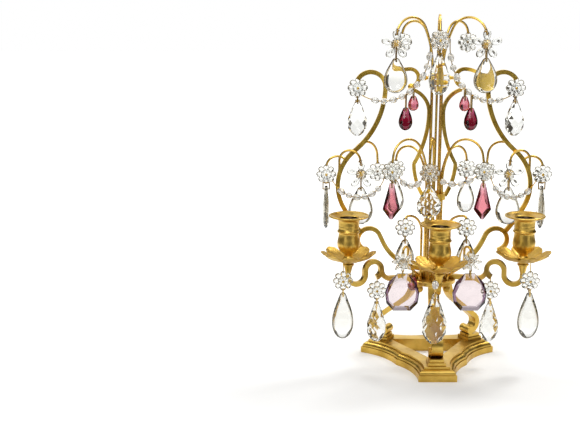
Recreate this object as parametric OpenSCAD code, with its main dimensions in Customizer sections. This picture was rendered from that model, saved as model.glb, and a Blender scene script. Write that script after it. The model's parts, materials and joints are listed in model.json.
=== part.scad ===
// Three-light girandole: gilt-bronze lyre frame on a triangular foot, hung with cut-glass drops.
// Millimetres, +Z up, front towards -Y. The origin is under the middle of the whole object.

/* [Base frame] */
// Distance from the stem to each flat-cut corner
base_r = 88; // [80:1:96]
// Width of each flat-cut corner
corner_w = 48; // [42:1:54]
// Height of the frame
base_h = 17; // [15:0.5:20]
// Height of the plain band at the bottom
plinth_h = 8; // [6:0.5:9]
// Distance from the stem to the inner face of each side
opening_r = 28; // [24:1:32]
// How far the middle point of each side lies inside the line of its corners
side_sink = 12; // [9:1:15]
// Hollow of each half side
side_hollow = 7; // [4:0.5:9]

/* [Scroll legs] */
// Distance from the stem to the middle of each foot block
foot_r = 67; // [64:1:70]
// Height of the foot block
foot_h = 8; // [6:0.5:10]
// Width of a leg
leg_w = 14; // [11:0.5:16]
// Thickness of a leg
leg_t = 6.5; // [5:0.5:7.5]
// Bend at the knee
knee_r = 12; // [10.5:0.5:14]
// Turn at the knee in degrees
knee_turn = 140; // [134:1:146]
// Straight stretch above the knee
shin_l = 42; // [38:1:46]
// Bend below the hub
shank_r = 34; // [30:1:38]
// Upright end under the hub
shank_l = 3; // [2:0.5:5]

/* [Hub] */
// Radius of the hub plate
hub_r = 31; // [30:0.5:36]
// Thickness of the hub plate
hub_t = 6; // [4:0.5:8]
// Radius of the rod boss
boss_r = 14.5; // [14:0.25:16]
// Height of the rod boss above the plate
boss_h = 16; // [14:0.5:20]
// Radius of the ball nuts
nut_r = 5; // [4:0.25:5.5]

/* [Candle arms] */
// Distance from the stem to the side candles
side_reach = 116; // [110:1:122]
// Distance from the stem to the front candle
front_reach = 70; // [68:1:76]
// Direction of the side arms, in degrees from the front
side_az = 71; // [68:1:73]
// Thickness of the arm bar
arm_t = 6; // [5:0.25:6.5]
// Bend of the scroll of the side arms
curl_r = 11; // [10:0.5:12]
// Bend under the side candles
dip_r = 11.5; // [10.5:0.5:13]
// Drop from the scroll to the bend
fall_l = 5; // [4:0.5:8]
// Height of the turned collar
collar_h = 18; // [15:0.5:21]
// Radius of the turned collar
collar_r = 7.2; // [6.5:0.1:8]
// Radius of the stud through pan and nozzle
stud_r = 3; // [2.5:0.1:3.2]

/* [Pans and nozzles] */
// Radius of a drip pan
pan_r = 34; // [32:0.5:36]
// Rise of the petals
pan_rise = 12; // [9:0.5:14]
// Sheet thickness of a pan
pan_t = 1.8; // [1.4:0.1:2.4]
// Number of petals
petals = 8; // [7:1:9]
// Radius of the nozzle rim
rim_r = 25; // [22:0.5:27]
// Radius of the candle socket
candle_r = 11.2; // [10:0.1:11.5]
// Depth of the candle socket
candle_depth = 32; // [26:1:36]
// Radius of the nozzle neck
neck_r = 13; // [12.7:0.1:14]
// Radius of the vase body
vase_r = 14.3; // [14:0.1:15.5]
// Height of a nozzle
nozzle_h = 56; // [52:1:60]

/* [Lyre] */
// Thickness of the outer strips in the lyre's plane
strip_t = 5.5; // [4.5:0.25:6]
// Depth of all lyre strips from front to back
strip_d = 5; // [4:0.25:6]
// Thickness of the inner strips and scrolls
slim_t = 4.5; // [3.5:0.25:5]
// Bend of the lower C-scrolls
hook_r = 14.5; // [13:0.5:16]
// Bend of the widest part of the outer strips
belly_r = 58; // [55:1:61]
// Bend of the shoulder of the outer strips
shoulder_r = 105; // [100:1:110]
// Bend of the outward curls at the top
volute_r = 18.5; // [17:0.5:20]

/* [Rods] */
// Diameter of the rods and wires
rod_d = 3; // [2.4:0.1:3.2]
// Distance of the upper rods from the stem axis
upper_ring = 7; // [6.5:0.25:7.5]
// Distance of the lower rods from the stem axis
lower_ring = 11; // [10.75:0.25:11.5]
// Height of the upper spray above the hub plate
upper_rise = 334; // [328:1:340]
// Height of the lower spray above the hub plate
lower_rise = 185; // [182:1:190]

/* [Glass] */
// Radius of a rosette
rosette_r = 13; // [11:0.5:14]
// Thickness of a rosette
rosette_t = 5; // [4:0.25:6]
// Length of a star flower's petal from the middle
star_r = 14; // [12:0.5:15]
// Reach of the oval petals of a big star flower
leaf_r = 19; // [17:0.5:20]
// Width of an oval petal
leaf_w = 9.5; // [8:0.5:10]
// Radius of the hanger wire
wire_r = 0.6; // [0.5:0.05:0.7]
// Room round the wire in a drop's hole
hole_gap = 0.4; // [0.3:0.05:0.6]
// Thickness of a drop round its hole
neck_t = 6; // [5:0.25:7]
// Length of a swag bead
bead_l = 11; // [9:0.5:12]
// Radius of a swag bead
bead_r = 4; // [3.2:0.1:4.2]

/* [Hidden] */
$fn = 40;
rod_r = rod_d / 2;
cut = 1; // overshoot of every cutting shape
seam = 0.4; // length of the seam where two stretches of a bar meet
swell = 1.02; // the seam stands this much proud
fit = 0.05; // clearance of a soldered or screwed fit
sink = 1.5; // depth that a soldered end goes into its seat
BRONZE = "#b8862f";
WIRE = "#c0923a";
CLEAR = "#e8ecec";
FROST = "#dfe3df";

// Directions of the rods round the stem, in degrees from the front
UPPER_AZ = [-5, 60, -60, 125, -125];
LOWER_AZ = [-14, 60, -60, 125, -125];
LEG_AZ = [0, 120, -120];

// Sides of the base: the line between two corners, and the middle of the arc of a half side,
// as [along, outwards] from the middle of that line
line_r = base_r / 2 + corner_w / 2 * sin(60);
line_half = base_r * sin(60) - corner_w / 4;
half_side = [line_half, side_sink];
hollow_r = (pow(norm(half_side) / 2, 2) + pow(side_hollow, 2)) / (2 * side_hollow);
hollow_c = [line_half, -side_sink] / 2 + (hollow_r - side_hollow) * [-side_sink, line_half] / norm(half_side);
step_in = 1.5; // steps of the moulded edge
step_h = 1;
ovolo_r = base_h - plinth_h - step_h - 3;
edge_in = step_in + ovolo_r + 1;
edge_reach = 30; // the edge cutters reach this far outside the block

// The stem stands behind the middle of the object by this much
stem_y = (front_reach + pan_r - line_r) / 2;

// Paths in an upright plane: points are [outwards, up] and a heading of 90 points up.
// A step is [length, 0] for a straight stretch or [radius, turn] for an arc, with left turns positive.
function path_end(p, h, steps, i = 0) =
    i == len(steps) ? [p.x, p.y, h] :
    let (size = steps[i][0], turn = steps[i][1], k = turn > 0 ? 1 : -1)
    turn == 0 ? path_end(p + size * [cos(h), sin(h)], h, steps, i + 1) :
    let (c = p + k * size * [-sin(h), cos(h)])
    path_end(c + k * size * [sin(h + turn), -cos(h + turn)], h + turn, steps, i + 1);
function out(az, r, z) = [r * sin(az), -r * cos(az), z];
function mirrored(p) = [-p.x, p.y, p.z];
function unit(v) = v / norm(v);

// Legs: from the foot block over the knee up to the hub, which their shape puts in its place
foot_w = 22;
roll_r = 5.5;
leg_z0 = base_h + foot_h + leg_t / 2;
LEG_START = [foot_r - 5, leg_z0];
LEG_STEPS = [[knee_r, knee_turn], [shin_l, 0], [shank_r, 90 - knee_turn], [shank_l, 0]];
leg_end = path_end(LEG_START, 0, LEG_STEPS);
hub_z = leg_end.y;
plate_z = hub_z + hub_t;
boss_z = plate_z + boss_h;

// Candle arms
strap_z = plate_z + arm_t / 2;
arm_start = boss_r + fit;
rise_r = 13; // bend from the strap up into the scroll
front_rise_r = 9;
front_curl_r = 9;
front_dip_r = 10.5;
function arm_steps(reach, up, curl, dip) = [
    [reach - arm_start - up - 2 * curl - 2 * dip, 0], [up, 90], [curl, -180], [fall_l, 0], [dip, 180], [3, 0]];
SIDE_ARM = arm_steps(side_reach, rise_r, curl_r, dip_r);
FRONT_ARM = arm_steps(front_reach, front_rise_r, front_curl_r, front_dip_r);
side_seat = path_end([arm_start, strap_z], 0, SIDE_ARM).y + collar_h;
front_seat = path_end([arm_start, strap_z], 0, FRONT_ARM).y + collar_h;
tail_turn = 65;
pan_flat = collar_r + 0.6; // the flat middle of a pan covers the collar
stud_l = pan_t + 9;

// Lyre: outward is to the right, and the left half is its mirror image
low_p = [boss_r - sink, plate_z + 11];
LOW_STEPS = [[62, 60], [10, 0], [hook_r, -235]];
low_mid = path_end(low_p, 5, [[62, 60], [10, 0]]);
low_c = [low_mid.x, low_mid.y] + hook_r * [sin(65), -cos(65)];
side_p = low_c + (hook_r - 1) * [cos(40), sin(40)];
SIDE_STEPS = [[230, 10], [belly_r, 80], [shoulder_r, -50], [volute_r, -150]];
side_end = path_end(side_p, 50, SIDE_STEPS);
neck_end = path_end(side_p, 50, [[230, 10], [belly_r, 80], [shoulder_r, -50]]);
shoulder_p = path_end(side_p, 50, [[230, 10], [belly_r, 80]]);
belly_p = path_end(side_p, 50, [[230, 10], [belly_r, 44]]);
out_p = path_end(side_p, 50, [[230, 10], [belly_r, 64]]);
top_p = [neck_end.x - 1, neck_end.y];
TOP_STEPS = [[30, 75], [11, 170]];
top_end = path_end(top_p, 105, TOP_STEPS);
top_inner = path_end(top_p, 105, [[30, 75], [11, 90]]);
ball_r = 4;
inner_p = [top_end.x - 1, top_end.y - ball_r + 0.5];
inner_heading = 195;
INNER_TOP = [[30, 75], [130, 30]];
cusp = path_end(inner_p, inner_heading, INNER_TOP);
tie_h = 8; // the collars that tie the rods
tie_t = 2.2;
low_tie_r = lower_ring + rod_r + fit + tie_t;
foot_bend = 85;
foot_heading = 268;
foot_turn = asin((low_tie_r - 0.7 - cusp.x - foot_bend * sin(foot_heading)) / foot_bend) + 180 - foot_heading;
INNER_LOW = [[foot_bend, foot_turn]];
inner_foot = path_end([cusp.x, cusp.y], foot_heading, INNER_LOW);

// Rods
socket = 10; // depth of the rod sockets in the boss
rod_z0 = boss_z - socket;
function spray(r1, r2, lean, drop) = [[r1, lean - 90], [r2, -lean - 80], [drop, 0]];
function spray_rise(r1, r2, lean) = r1 * cos(lean) + r2 * (1 - cos(lean));
function rod_steps(apex_z, s, lean) =
    concat([[apex_z - spray_rise(s[0][0], s[1][0], lean) - rod_z0, 0]], s);
upper_z = plate_z + upper_rise;
lower_z = plate_z + lower_rise;
back_drop = 9; // the back rods end lower than the front ones
function upper_rod(i) = i == 0 ? rod_steps(upper_z, spray(60, 20, 65, 2), 65) :
    i < 3 ? rod_steps(upper_z - 3, spray(130, 23, 65, 2), 65) :
    rod_steps(upper_z - back_drop, spray(110, 17.5, 65, 2), 65);
function lower_rod(i) = i == 0 ? rod_steps(lower_z, spray(60, 15, 60, 18), 60) :
    i < 3 ? rod_steps(lower_z - 3, spray(90, 22, 60, 10), 60) :
    rod_steps(lower_z - 2 * back_drop, spray(80, 18, 60, 6), 60);
function upper_tip(i) =
    let (e = path_end([upper_ring, rod_z0], 90, upper_rod(i))) out(UPPER_AZ[i], e.x, e.y);
function lower_tip(i) =
    let (e = path_end([lower_ring, rod_z0], 90, lower_rod(i))) out(LOWER_AZ[i], e.x, e.y);

// Shoulder wires on the right outer strip: where they start, their direction and their path
FRONT_WIRE = [[18, 0], [13.5, -170], [8, 0]];
BACK_WIRE = [[20, -145], [12, 0]];
OUT_WIRE = [[14, -130], [1, 0]];
function wire_tip(p, az, h, steps) =
    let (e = path_end([0, 0], h, steps)) [p.x + e.x * sin(az), -e.x * cos(az), p.y + e.y];
front_wire_az = -75;
back_wire_az = -125;
front_tip = wire_tip(belly_p, front_wire_az, 90, FRONT_WIRE);
back_tip = wire_tip(shoulder_p, back_wire_az, 60, BACK_WIRE);
out_tip = wire_tip(out_p, 90, 50, OUT_WIRE);

// Wires on the hub plate
hook_az = 52;
hook_ring = 20;
HOOK_STEPS = [[62 + hub_t, 0], [24, -90], [5, -75]];
hook_end = path_end([hook_ring, hub_z], 90, HOOK_STEPS);
hook_tip = out(hook_az, hook_end.x, hook_end.y);
low_az = 42;
low_ring = hub_r - 5;
LOW_WIRE = [[hub_t + 2, 0], [8, -55], [18, 0], [20, 55], [10, 0], [5, -170], [3, 0]];
low_end = path_end([low_ring, hub_z], 90, LOW_WIRE);
low_tip = out(low_az, low_end.x, low_end.y);
pink_end = path_end([low_ring, hub_z], 90, [LOW_WIRE[0], LOW_WIRE[1], [15, 0]]);
pink_wire = out(-low_az, pink_end.x, pink_end.y);

// Flowers hang with their top petal on the wire's end
flower_drop = rosette_r - 2.5;
function flower_at(tip) = tip - [0, 0, flower_drop];
function star_at(tip) = tip - [0, 0, star_r - 3];
link = 6; // from a flower's edge down to the hole of its drop
function pin_under(mid, r) = mid - [0, 0, r + link];

// Pendants on the side arms and the front pan
tail_end = path_end([side_reach - 2 * curl_r - 2 * dip_r, strap_z + rise_r], -90, [[curl_r, tail_turn]]);
arm_wire_l = 4.5;
inner_ros = out(side_az, tail_end.x - 1, tail_end.y - arm_wire_l - rosette_r);
pan_hang = 14; // distance of the hanging hole from a pan's middle
pan_wire_l = 12;
function pan_z(r) = pan_rise * pow(max(0, r - pan_flat) / (pan_r - pan_flat), 1.6);
outer_ros = out(side_az, side_reach, side_seat + pan_z(pan_hang) - pan_wire_l - rosette_r) + out(30, pan_hang, 0);
front_hang = 23;
front_turn = -18; // the low front drop hangs a little to the left
front_chain = 36;
front_top = out(0, front_reach, front_seat + pan_z(front_hang) + pan_t) + out(front_turn, front_hang, 0);
front_pin = front_top - [0, 0, front_chain];
front_loop = 6;

ROSETTES = concat(
    [[flower_at(upper_tip(0)), 0], [flower_at(upper_tip(3)), 180], [flower_at(upper_tip(4)), 180],
     [flower_at(lower_tip(0)), 0]],
    [for (i = [1 : 4]) [flower_at(lower_tip(i)), i < 3 ? 0 : 180]],
    [for (p = [flower_at([side_end.x, 0, side_end.y]), flower_at(back_tip), flower_at(hook_tip)])
        for (q = [p, mirrored(p)]) [q, p == flower_at(back_tip) ? 180 : 0]],
    [for (p = [inner_ros, outer_ros]) for (q = [p, mirrored(p)]) [q, 0]],
    [[flower_at(out_tip), 0], [mirrored(flower_at(out_tip)), 0]]);
BIG_STARS = [for (p = [star_at(upper_tip(1)), star_at(front_tip)]) for (q = [p, mirrored(p)]) q];
SMALL_STARS = [star_at(low_tip), mirrored(star_at(low_tip))];
button_r = 0.42 * star_r;
leaf_l = leaf_r - button_r + 0.6;
leaf_bend = (leaf_l * leaf_l + leaf_w * leaf_w) / (4 * leaf_w);

// Swags: the two ends, the sag, the number of beads and the place of the first bead along the swag
far_ros = flower_at([side_end.x, 0, side_end.y]);
top_ros = flower_at(upper_tip(0));
mid_ros = flower_at(lower_tip(0));
kite_ros = flower_at(lower_tip(1));
out_ros = flower_at(out_tip);
RIGHT_SWAG = [top_ros + [12, 0, 0], far_ros + [-5, 0, -9], 34, 9, 0.14];
LEFT_SWAG = [top_ros + [-12.5, 0, 1], mirrored(RIGHT_SWAG[1]), 35, 9, 0.14];
OUTER_SWAG = [out_ros + [-8, -2, -8], kite_ros + [9, 0, -6], 24, 6, 0.2];
function mirror_swag(s) = [mirrored(s[0]), mirrored(s[1]), s[2], s[3], s[4]];
SWAGS = [RIGHT_SWAG, LEFT_SWAG, OUTER_SWAG, mirror_swag(OUTER_SWAG),
    [kite_ros + [-9, 0, -6], mid_ros + [9, 0, -6], 9, 4, 0.18],
    [mirrored(kite_ros + [-9, 0, -6]), mid_ros + [-9, 0, -6], 11, 3, 0.25]];
function swag_ex(s) = unit(s[1] - s[0]);
function swag_ey(s) = unit(cross([0, 0, 1], swag_ex(s)));
function swag_ez(s) = cross(swag_ex(s), swag_ey(s));
function swag_c(s) = norm(s[1] - s[0]);
function swag_bend(s) = (pow(swag_c(s) / 2, 2) + s[2] * s[2]) / (2 * s[2]);
function swag_half(s) = let (a = asin(min(1, swag_c(s) / 2 / swag_bend(s)))) s[2] > swag_c(s) / 2 ? 180 - a : a;
function swag_point(s, t) =
    let (a = (2 * t - 1) * swag_half(s), b = swag_bend(s))
    (s[0] + s[1]) / 2 + swag_ex(s) * b * sin(a) + swag_ez(s) * (b - s[2] - b * cos(a));
bead_bore = wire_r + fit;
bead_lip = 0.6; // width of the flat ring at each end of a bead
loop_y = neck_t / 2 + wire_r + 0.4; // the sides of a hanger stand clear of the glass

// Drops: width and crown of the neck, the place of the widest level, and the levels of the facets
neck_w = 5.4;
crown = 4.5;
belly_t = 0.64;
FLUTE_LEVELS = [0, 0.09, 0.3, 0.5, 0.64, 0.78, 0.9, 0.985];
CUT_LEVELS = [0, 0.09, 0.24, 0.4, 0.53, 0.64, 0.77, 0.9, 0.985];
SMOOTH_LEVELS = [0, 0.09, 0.18, 0.27, 0.36, 0.45, 0.55, 0.64, 0.74, 0.84, 0.93, 0.985];

// Drops: name, cut, colour, point of the hole, direction that it faces, length, width, thickness,
// and the height at which its hanger ends
PURPLE = "#8a3a52";
DARK = "#5a1030";
PINK = "#b5607c";
LILAC = "#c9b3c6";
function hung(name, kind, tint, mid, r, az, size, rim) =
    [name, kind, tint, pin_under(mid, r), az, size, mid.z - rim + 2.5];
function sides(name, kind, tint, mid, r, az, size, rim) =
    [hung(str("right_", name), kind, tint, mid, r, az, size, rim),
     hung(str("left_", name), kind, tint, mirrored(mid), r, -az, size, rim)];
function swag_drop(name, tint, t, fall, size) = [for (s = [["right_", RIGHT_SWAG], ["left_", LEFT_SWAG]])
    let (top = swag_point(s[1], t)) [str(s[0], name), "smooth", tint, top - [0, 0, fall], 0, size, top.z]];
DROPS = concat(
    [hung("top_front_drop", "fluted", CLEAR, top_ros, rosette_r, 0, [51, 26, 15], rosette_r),
     hung("mid_front_drop", "cut", CLEAR, mid_ros, rosette_r, 0, [42, 31, 14], rosette_r),
     ["low_front_drop", "cut", CLEAR, front_pin, 0, [64, 31, 15], front_pin.z + front_loop]],
    sides("top_drop", "smooth", CLEAR, star_at(upper_tip(1)), star_r, 0, [44, 29, 12], button_r),
    sides("far_drop", "cut", CLEAR, far_ros, rosette_r, 0, [46, 25, 11], rosette_r),
    swag_drop("dark_drop", DARK, 0.545, 20, [29, 17, 13]),
    swag_drop("pink_drop", PINK, 0.455, 13, [19, 13, 11]),
    sides("kite_drop", "kite", PURPLE, kite_ros, rosette_r, 0, [46, 22, 9], rosette_r),
    sides("back_drop", "smooth", CLEAR, flower_at(lower_tip(3)), rosette_r, 0, [44, 23, 10], rosette_r),
    sides("shoulder_drop", "smooth", CLEAR, star_at(front_tip), star_r, 0, [50, 31, 8], button_r),
    sides("outer_drop", "smooth", CLEAR, out_ros, rosette_r, 90, [57, 24, 9], rosette_r),
    sides("hook_drop", "smooth", CLEAR, flower_at(hook_tip), rosette_r, 0, [40, 24, 9], rosette_r),
    sides("lilac_drop", "plate", LILAC, star_at(low_tip), star_r, 0, [48, 43, 9], star_r),
    sides("arm_inner_drop", "cut", CLEAR, inner_ros, rosette_r, 0, [54, 25, 13], rosette_r),
    sides("arm_outer_drop", "smooth", CLEAR, outer_ros, rosette_r, 0, [62, 27, 12], rosette_r),
    [["hub_pink_drop", "smooth", PINK, pink_wire - [0, 0, 11], 0, [20, 13, 11], pink_wire.z]]);

// Turns a plane path to its direction round the stem
module facing(az) rotate([0, 0, az - 90]) children();
module left_side() mirror([1, 0, 0]) children();
module both_sides() {
    children();
    left_side() children();
}

// Draws a bar or wire along a path, with its section as a 2D child
ALONG = [[0, 0, 1, 0], [0, 1, 0, 0], [-1, 0, 0, 0], [0, 0, 0, 1]];
TO_LEFT = [[0, 1, 0, 0], [0, 0, -1, 0], [-1, 0, 0, 0], [0, 0, 0, 1]];
TO_RIGHT = [[0, 1, 0, 0], [0, 0, 1, 0], [1, 0, 0, 0], [0, 0, 0, 1]];
module stretch(l) multmatrix(ALONG) linear_extrude(l) children();
module chain(steps, i = 0) {
    if (i < len(steps)) {
        size = steps[i][0];
        turn = steps[i][1];
        if (i > 0) translate([-seam / 2, 0, 0]) stretch(seam) scale(swell) children();
        if (turn == 0) {
            stretch(size) children();
            translate([size, 0, 0]) chain(steps, i + 1) children();
        } else {
            k = turn > 0 ? 1 : -1;
            translate([0, 0, k * size]) multmatrix(k > 0 ? TO_LEFT : TO_RIGHT)
                rotate_extrude(angle = abs(turn)) translate([size, 0]) children();
            translate([size * sin(abs(turn)), 0, k * size * (1 - cos(turn))])
                rotate([0, -turn, 0]) chain(steps, i + 1) children();
        }
    }
}
module path(p, h, steps) translate([p.x, 0, p.y]) rotate([0, -h, 0]) chain(steps) children();
module bar_section(t, d) square([t, d], center = true);
module rod_section() circle(rod_r);

// Base frame: a block with three flat and six hollow moulded edges and a triangular opening
module edge_profile() {
    step_z = plinth_h + step_h;
    translate([0, -2 * cut]) square([edge_in + cut, plinth_h + 2 * cut]);
    translate([step_in, 0]) square([edge_in, step_z]);
    translate([step_in + ovolo_r, step_z]) circle(ovolo_r);
    translate([step_in + ovolo_r, 0]) square([edge_in, step_z + ovolo_r]);
    translate([edge_in, 0]) square([edge_in, base_h + 2 * cut]);
}
module edge_cut(r) difference() {
    translate([r - edge_reach, -cut]) square([edge_reach + edge_in, base_h + 2 * cut]);
    translate([r, 0]) edge_profile();
}
module base_frame() color(BRONZE) difference() {
    linear_extrude(base_h) polygon([for (az = LEG_AZ) for (k = [-1, 1])
        [base_r * sin(az) + k * corner_w / 2 * cos(az), -base_r * cos(az) + k * corner_w / 2 * sin(az)]]);
    for (az = LEG_AZ) facing(az + 180) for (k = [-1, 1])
        translate([line_r + hollow_c.y, k * hollow_c.x, 0]) rotate_extrude($fn = 90) edge_cut(hollow_r);
    for (az = LEG_AZ) facing(az) translate([base_r, -base_r, 0])
        multmatrix([[-1, 0, 0, 0], [0, 0, 1, 0], [0, 1, 0, 0], [0, 0, 0, 1]])
            linear_extrude(2 * base_r) edge_cut(0);
    translate([0, 0, -cut]) linear_extrude(base_h + 2 * cut)
        polygon([for (az = LEG_AZ) 2 * opening_r * [sin(az), -cos(az)]]);
}

module leg() color(BRONZE) {
    for (i = [0, 1]) translate([foot_r, 0, base_h + foot_h * (i + 0.5) / 2])
        cube([foot_w - 4 * i, foot_w - 4 * i, foot_h / 2], center = true);
    translate([LEG_START.x, 0, base_h + foot_h + roll_r]) rotate([90, 0, 0])
        cylinder(r = roll_r, h = leg_w + 4, center = true);
    path(LEG_START, 0, LEG_STEPS) bar_section(leg_t, leg_w);
}

module hub() color(BRONZE) difference() {
    translate([0, 0, hub_z]) rotate_extrude() polygon([[0, 0], [hub_r - 1, 0], [hub_r, 1], [hub_r, hub_t - 1],
        [hub_r - 1, hub_t], [boss_r, hub_t], [boss_r, hub_t + boss_h - 1], [boss_r - 1, hub_t + boss_h],
        [0, hub_t + boss_h]]);
    for (az = UPPER_AZ) facing(az) translate([upper_ring, 0, rod_z0]) cylinder(r = rod_r + fit, h = socket + cut);
    for (az = LOWER_AZ) facing(az) translate([lower_ring, 0, rod_z0]) cylinder(r = rod_r + fit, h = socket + cut);
}

module ball_nuts() color(BRONZE) both_sides() facing(low_az) translate([low_ring, 0, hub_z]) {
    translate([0, 0, -2]) cylinder(r = nut_r - 1.5, h = 2);
    translate([0, 0, -nut_r]) sphere(nut_r - 0.2);
}

// Candle arm: strap on the hub plate, scroll with its tail, bend, turned collar and stud
module arm(reach, steps, up, curl, dip, seat) color(BRONZE) {
    path([arm_start, strap_z], 0, steps) bar_section(arm_t, arm_t);
    path([reach - 2 * curl - 2 * dip, strap_z + up], -90, [[curl, tail_turn]]) bar_section(arm_t, arm_t);
    translate([reach, 0, seat - collar_h]) {
        rotate_extrude() polygon([[0, 0], [arm_t / 2, 0], [collar_r - 1.4, 0.6 * collar_h],
            [collar_r, 0.64 * collar_h], [collar_r, 0.72 * collar_h], [collar_r - 1.8, 0.77 * collar_h],
            [collar_r - 1.8, 0.84 * collar_h], [pan_flat, 0.9 * collar_h], [pan_flat, collar_h], [0, collar_h]]);
        cylinder(r = stud_r, h = collar_h + stud_l);
    }
}

// Drip pan: a bowl of thin metal cut to a ring of round petals
module pan() color(BRONZE) intersection() {
    rotate_extrude() polygon(concat(
        [for (i = [0 : 8]) let (r = pan_flat + (pan_r - pan_flat) * i / 8) [r, pan_z(r)]],
        [for (i = [8 : -1 : 0]) let (r = pan_flat + (pan_r - pan_flat) * i / 8) [r, pan_z(r) + pan_t]],
        [[stud_r + fit, pan_t], [stud_r + fit, 0]]));
    linear_extrude(pan_rise + pan_t + cut) {
        circle(0.62 * pan_r);
        for (i = [1 : petals]) rotate(i * 360 / petals) translate([0.69 * pan_r, 0]) circle(0.31 * pan_r);
    }
}

// Nozzle: foot, vase body, ring, neck and flared rim, with the candle socket from above
module nozzle() color(BRONZE) difference() {
    v = nozzle_h;
    rotate_extrude() polygon([[0, 0], [7, 0], [7, 1.5], [5, 3], [5, 0.09 * v], [9, 0.18 * v], [12.6, 0.27 * v],
        [vase_r, 0.37 * v], [vase_r, 0.41 * v], [neck_r - 0.4, 0.53 * v], [neck_r - 0.4, 0.6 * v],
        [neck_r + 1, 0.615 * v], [neck_r + 1, 0.65 * v], [neck_r, 0.67 * v], [neck_r, 0.88 * v],
        [neck_r + 2.5, 0.92 * v], [rim_r - 2, v - 3], [rim_r, v - 2], [rim_r, v - 0.7], [rim_r - 1, v], [0, v]]);
    translate([0, 0, v - candle_depth]) cylinder(r = candle_r, h = candle_depth + cut);
    translate([0, 0, -cut]) cylinder(r = stud_r + fit, h = stud_l - pan_t + cut);
}

module side_strip() color(BRONZE) path(side_p, 50, SIDE_STEPS) bar_section(strip_t, strip_d);
module low_scroll() color(BRONZE) path(low_p, 5, LOW_STEPS) bar_section(strip_t, strip_d);
module inner_strip() color(BRONZE) {
    path(inner_p, inner_heading, INNER_TOP) bar_section(slim_t, strip_d);
    path(cusp, foot_heading, INNER_LOW) bar_section(slim_t, strip_d);
}
module top_scroll() color(BRONZE) {
    path(top_p, 105, TOP_STEPS) bar_section(slim_t, strip_d);
    translate([top_end.x, 0, top_end.y]) sphere(ball_r);
}

// Ties: a collar with the cross pin under the upper spray, and a collar that carries the inner strips
module stem_ties() color(BRONZE) {
    translate([0, 0, top_inner.y - tie_h / 2]) {
        difference() {
            cylinder(r = upper_ring + rod_r + fit + tie_t, h = tie_h);
            translate([0, 0, -cut]) cylinder(r = upper_ring + rod_r + fit, h = tie_h + 2 * cut);
        }
        both_sides() translate([upper_ring + rod_r + 1, 0, tie_h / 2]) rotate([0, 90, 0]) {
            cylinder(r = 2, h = top_inner.x - upper_ring - rod_r - slim_t / 2);
            translate([0, 0, 5.5]) sphere(3.2);
        }
    }
    translate([0, 0, inner_foot.y - tie_h / 2]) difference() {
        cylinder(r = low_tie_r, h = tie_h);
        translate([0, 0, -cut]) cylinder(r = lower_ring + rod_r + fit, h = tie_h + 2 * cut);
    }
}

module upper_rods() color(WIRE) for (i = [0 : 4])
    facing(UPPER_AZ[i]) path([upper_ring, rod_z0], 90, upper_rod(i)) rod_section();
module lower_rods() color(WIRE) for (i = [0 : 4])
    facing(LOWER_AZ[i]) path([lower_ring, rod_z0], 90, lower_rod(i)) rod_section();
module shoulder_wires() color(WIRE) both_sides() {
    translate([belly_p.x, 0, belly_p.y]) facing(front_wire_az) path([0, 0], 90, FRONT_WIRE) rod_section();
    translate([shoulder_p.x, 0, shoulder_p.y]) facing(back_wire_az) path([0, 0], 60, BACK_WIRE) rod_section();
    translate([out_p.x, 0, out_p.y]) facing(90) path([0, 0], 50, OUT_WIRE) rod_section();
}
module hub_wires() color(WIRE) both_sides() {
    facing(hook_az) path([hook_ring, hub_z], 90, HOOK_STEPS) rod_section();
    facing(low_az) path([low_ring, hub_z], 90, LOW_WIRE) rod_section();
}

// Flowers: cut flat, with a second smaller tier or a button in front
module petal_ring(r) {
    circle(0.5 * r);
    for (i = [1 : 8]) rotate(45 * i) translate([0.7 * r, 0]) circle(0.3 * r);
}
module rosette() {
    linear_extrude(rosette_t, center = true) petal_ring(rosette_r);
    linear_extrude(rosette_t / 2 + 2) rotate(22.5) petal_ring(0.55 * rosette_r);
}
module big_star() {
    linear_extrude(rosette_t - 1, center = true) {
        circle(button_r);
        for (i = [0 : 4]) rotate(72 * i + 90) translate([leaf_r - leaf_l / 2, 0]) intersection_for (k = [-1, 1])
            translate([0, k * (leaf_bend - leaf_w / 2)]) circle(leaf_bend);
    }
    translate([0, 0, rosette_t / 2 - 1]) sphere(0.3 * star_r);
}
module star() {
    linear_extrude(rosette_t - 1, center = true) {
        circle(0.35 * star_r);
        for (i = [1 : 6]) rotate(60 * i + 30) translate([0.5 * star_r, 0]) intersection() {
            translate([0, 0.55 * star_r]) circle(0.77 * star_r);
            translate([0, -0.55 * star_r]) circle(0.77 * star_r);
        }
    }
    translate([0, 0, rosette_t / 2 - 1]) sphere(0.25 * star_r);
}
module upright(p, az) translate(p) rotate([90, 0, az]) children();
module rosettes() color(CLEAR) for (f = ROSETTES) upright(f[0], f[1]) rosette();
module star_flowers() color(CLEAR) {
    for (p = BIG_STARS) upright(p, 0) big_star();
    for (p = SMALL_STARS) upright(p, 0) star();
}

// Beads: barrels with an arched side and flat ends on the swag wires, and one above the low front drop
module bead(l) rotate([0, 90, 0]) rotate_extrude() intersection() {
    d = bead_r - bead_bore - bead_lip;
    b = (d * d + l * l / 4) / (2 * d);
    translate([bead_r - b, 0]) circle(b, $fn = 90);
    translate([bead_bore, -l / 2]) square([bead_r, l]);
}
module frame_of(ex, ey, ez, p) multmatrix([[ex.x, ey.x, ez.x, p.x], [ex.y, ey.y, ez.y, p.y],
    [ex.z, ey.z, ez.z, p.z], [0, 0, 0, 1]]) children();
module swag_beads() color(FROST) {
    for (s = SWAGS) for (j = [0 : s[3] - 1]) {
        t = s[4] + (1 - 2 * s[4]) * j / (s[3] - 1);
        frame_of(swag_ex(s), swag_ey(s), swag_ez(s), swag_point(s, t))
            rotate([0, -(2 * t - 1) * swag_half(s), 0]) bead(j % 2 == 0 ? bead_l : 0.75 * bead_l);
    }
    translate(front_top - [0, 0, 20]) rotate([0, 90, 0]) bead(bead_l);
}

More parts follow.
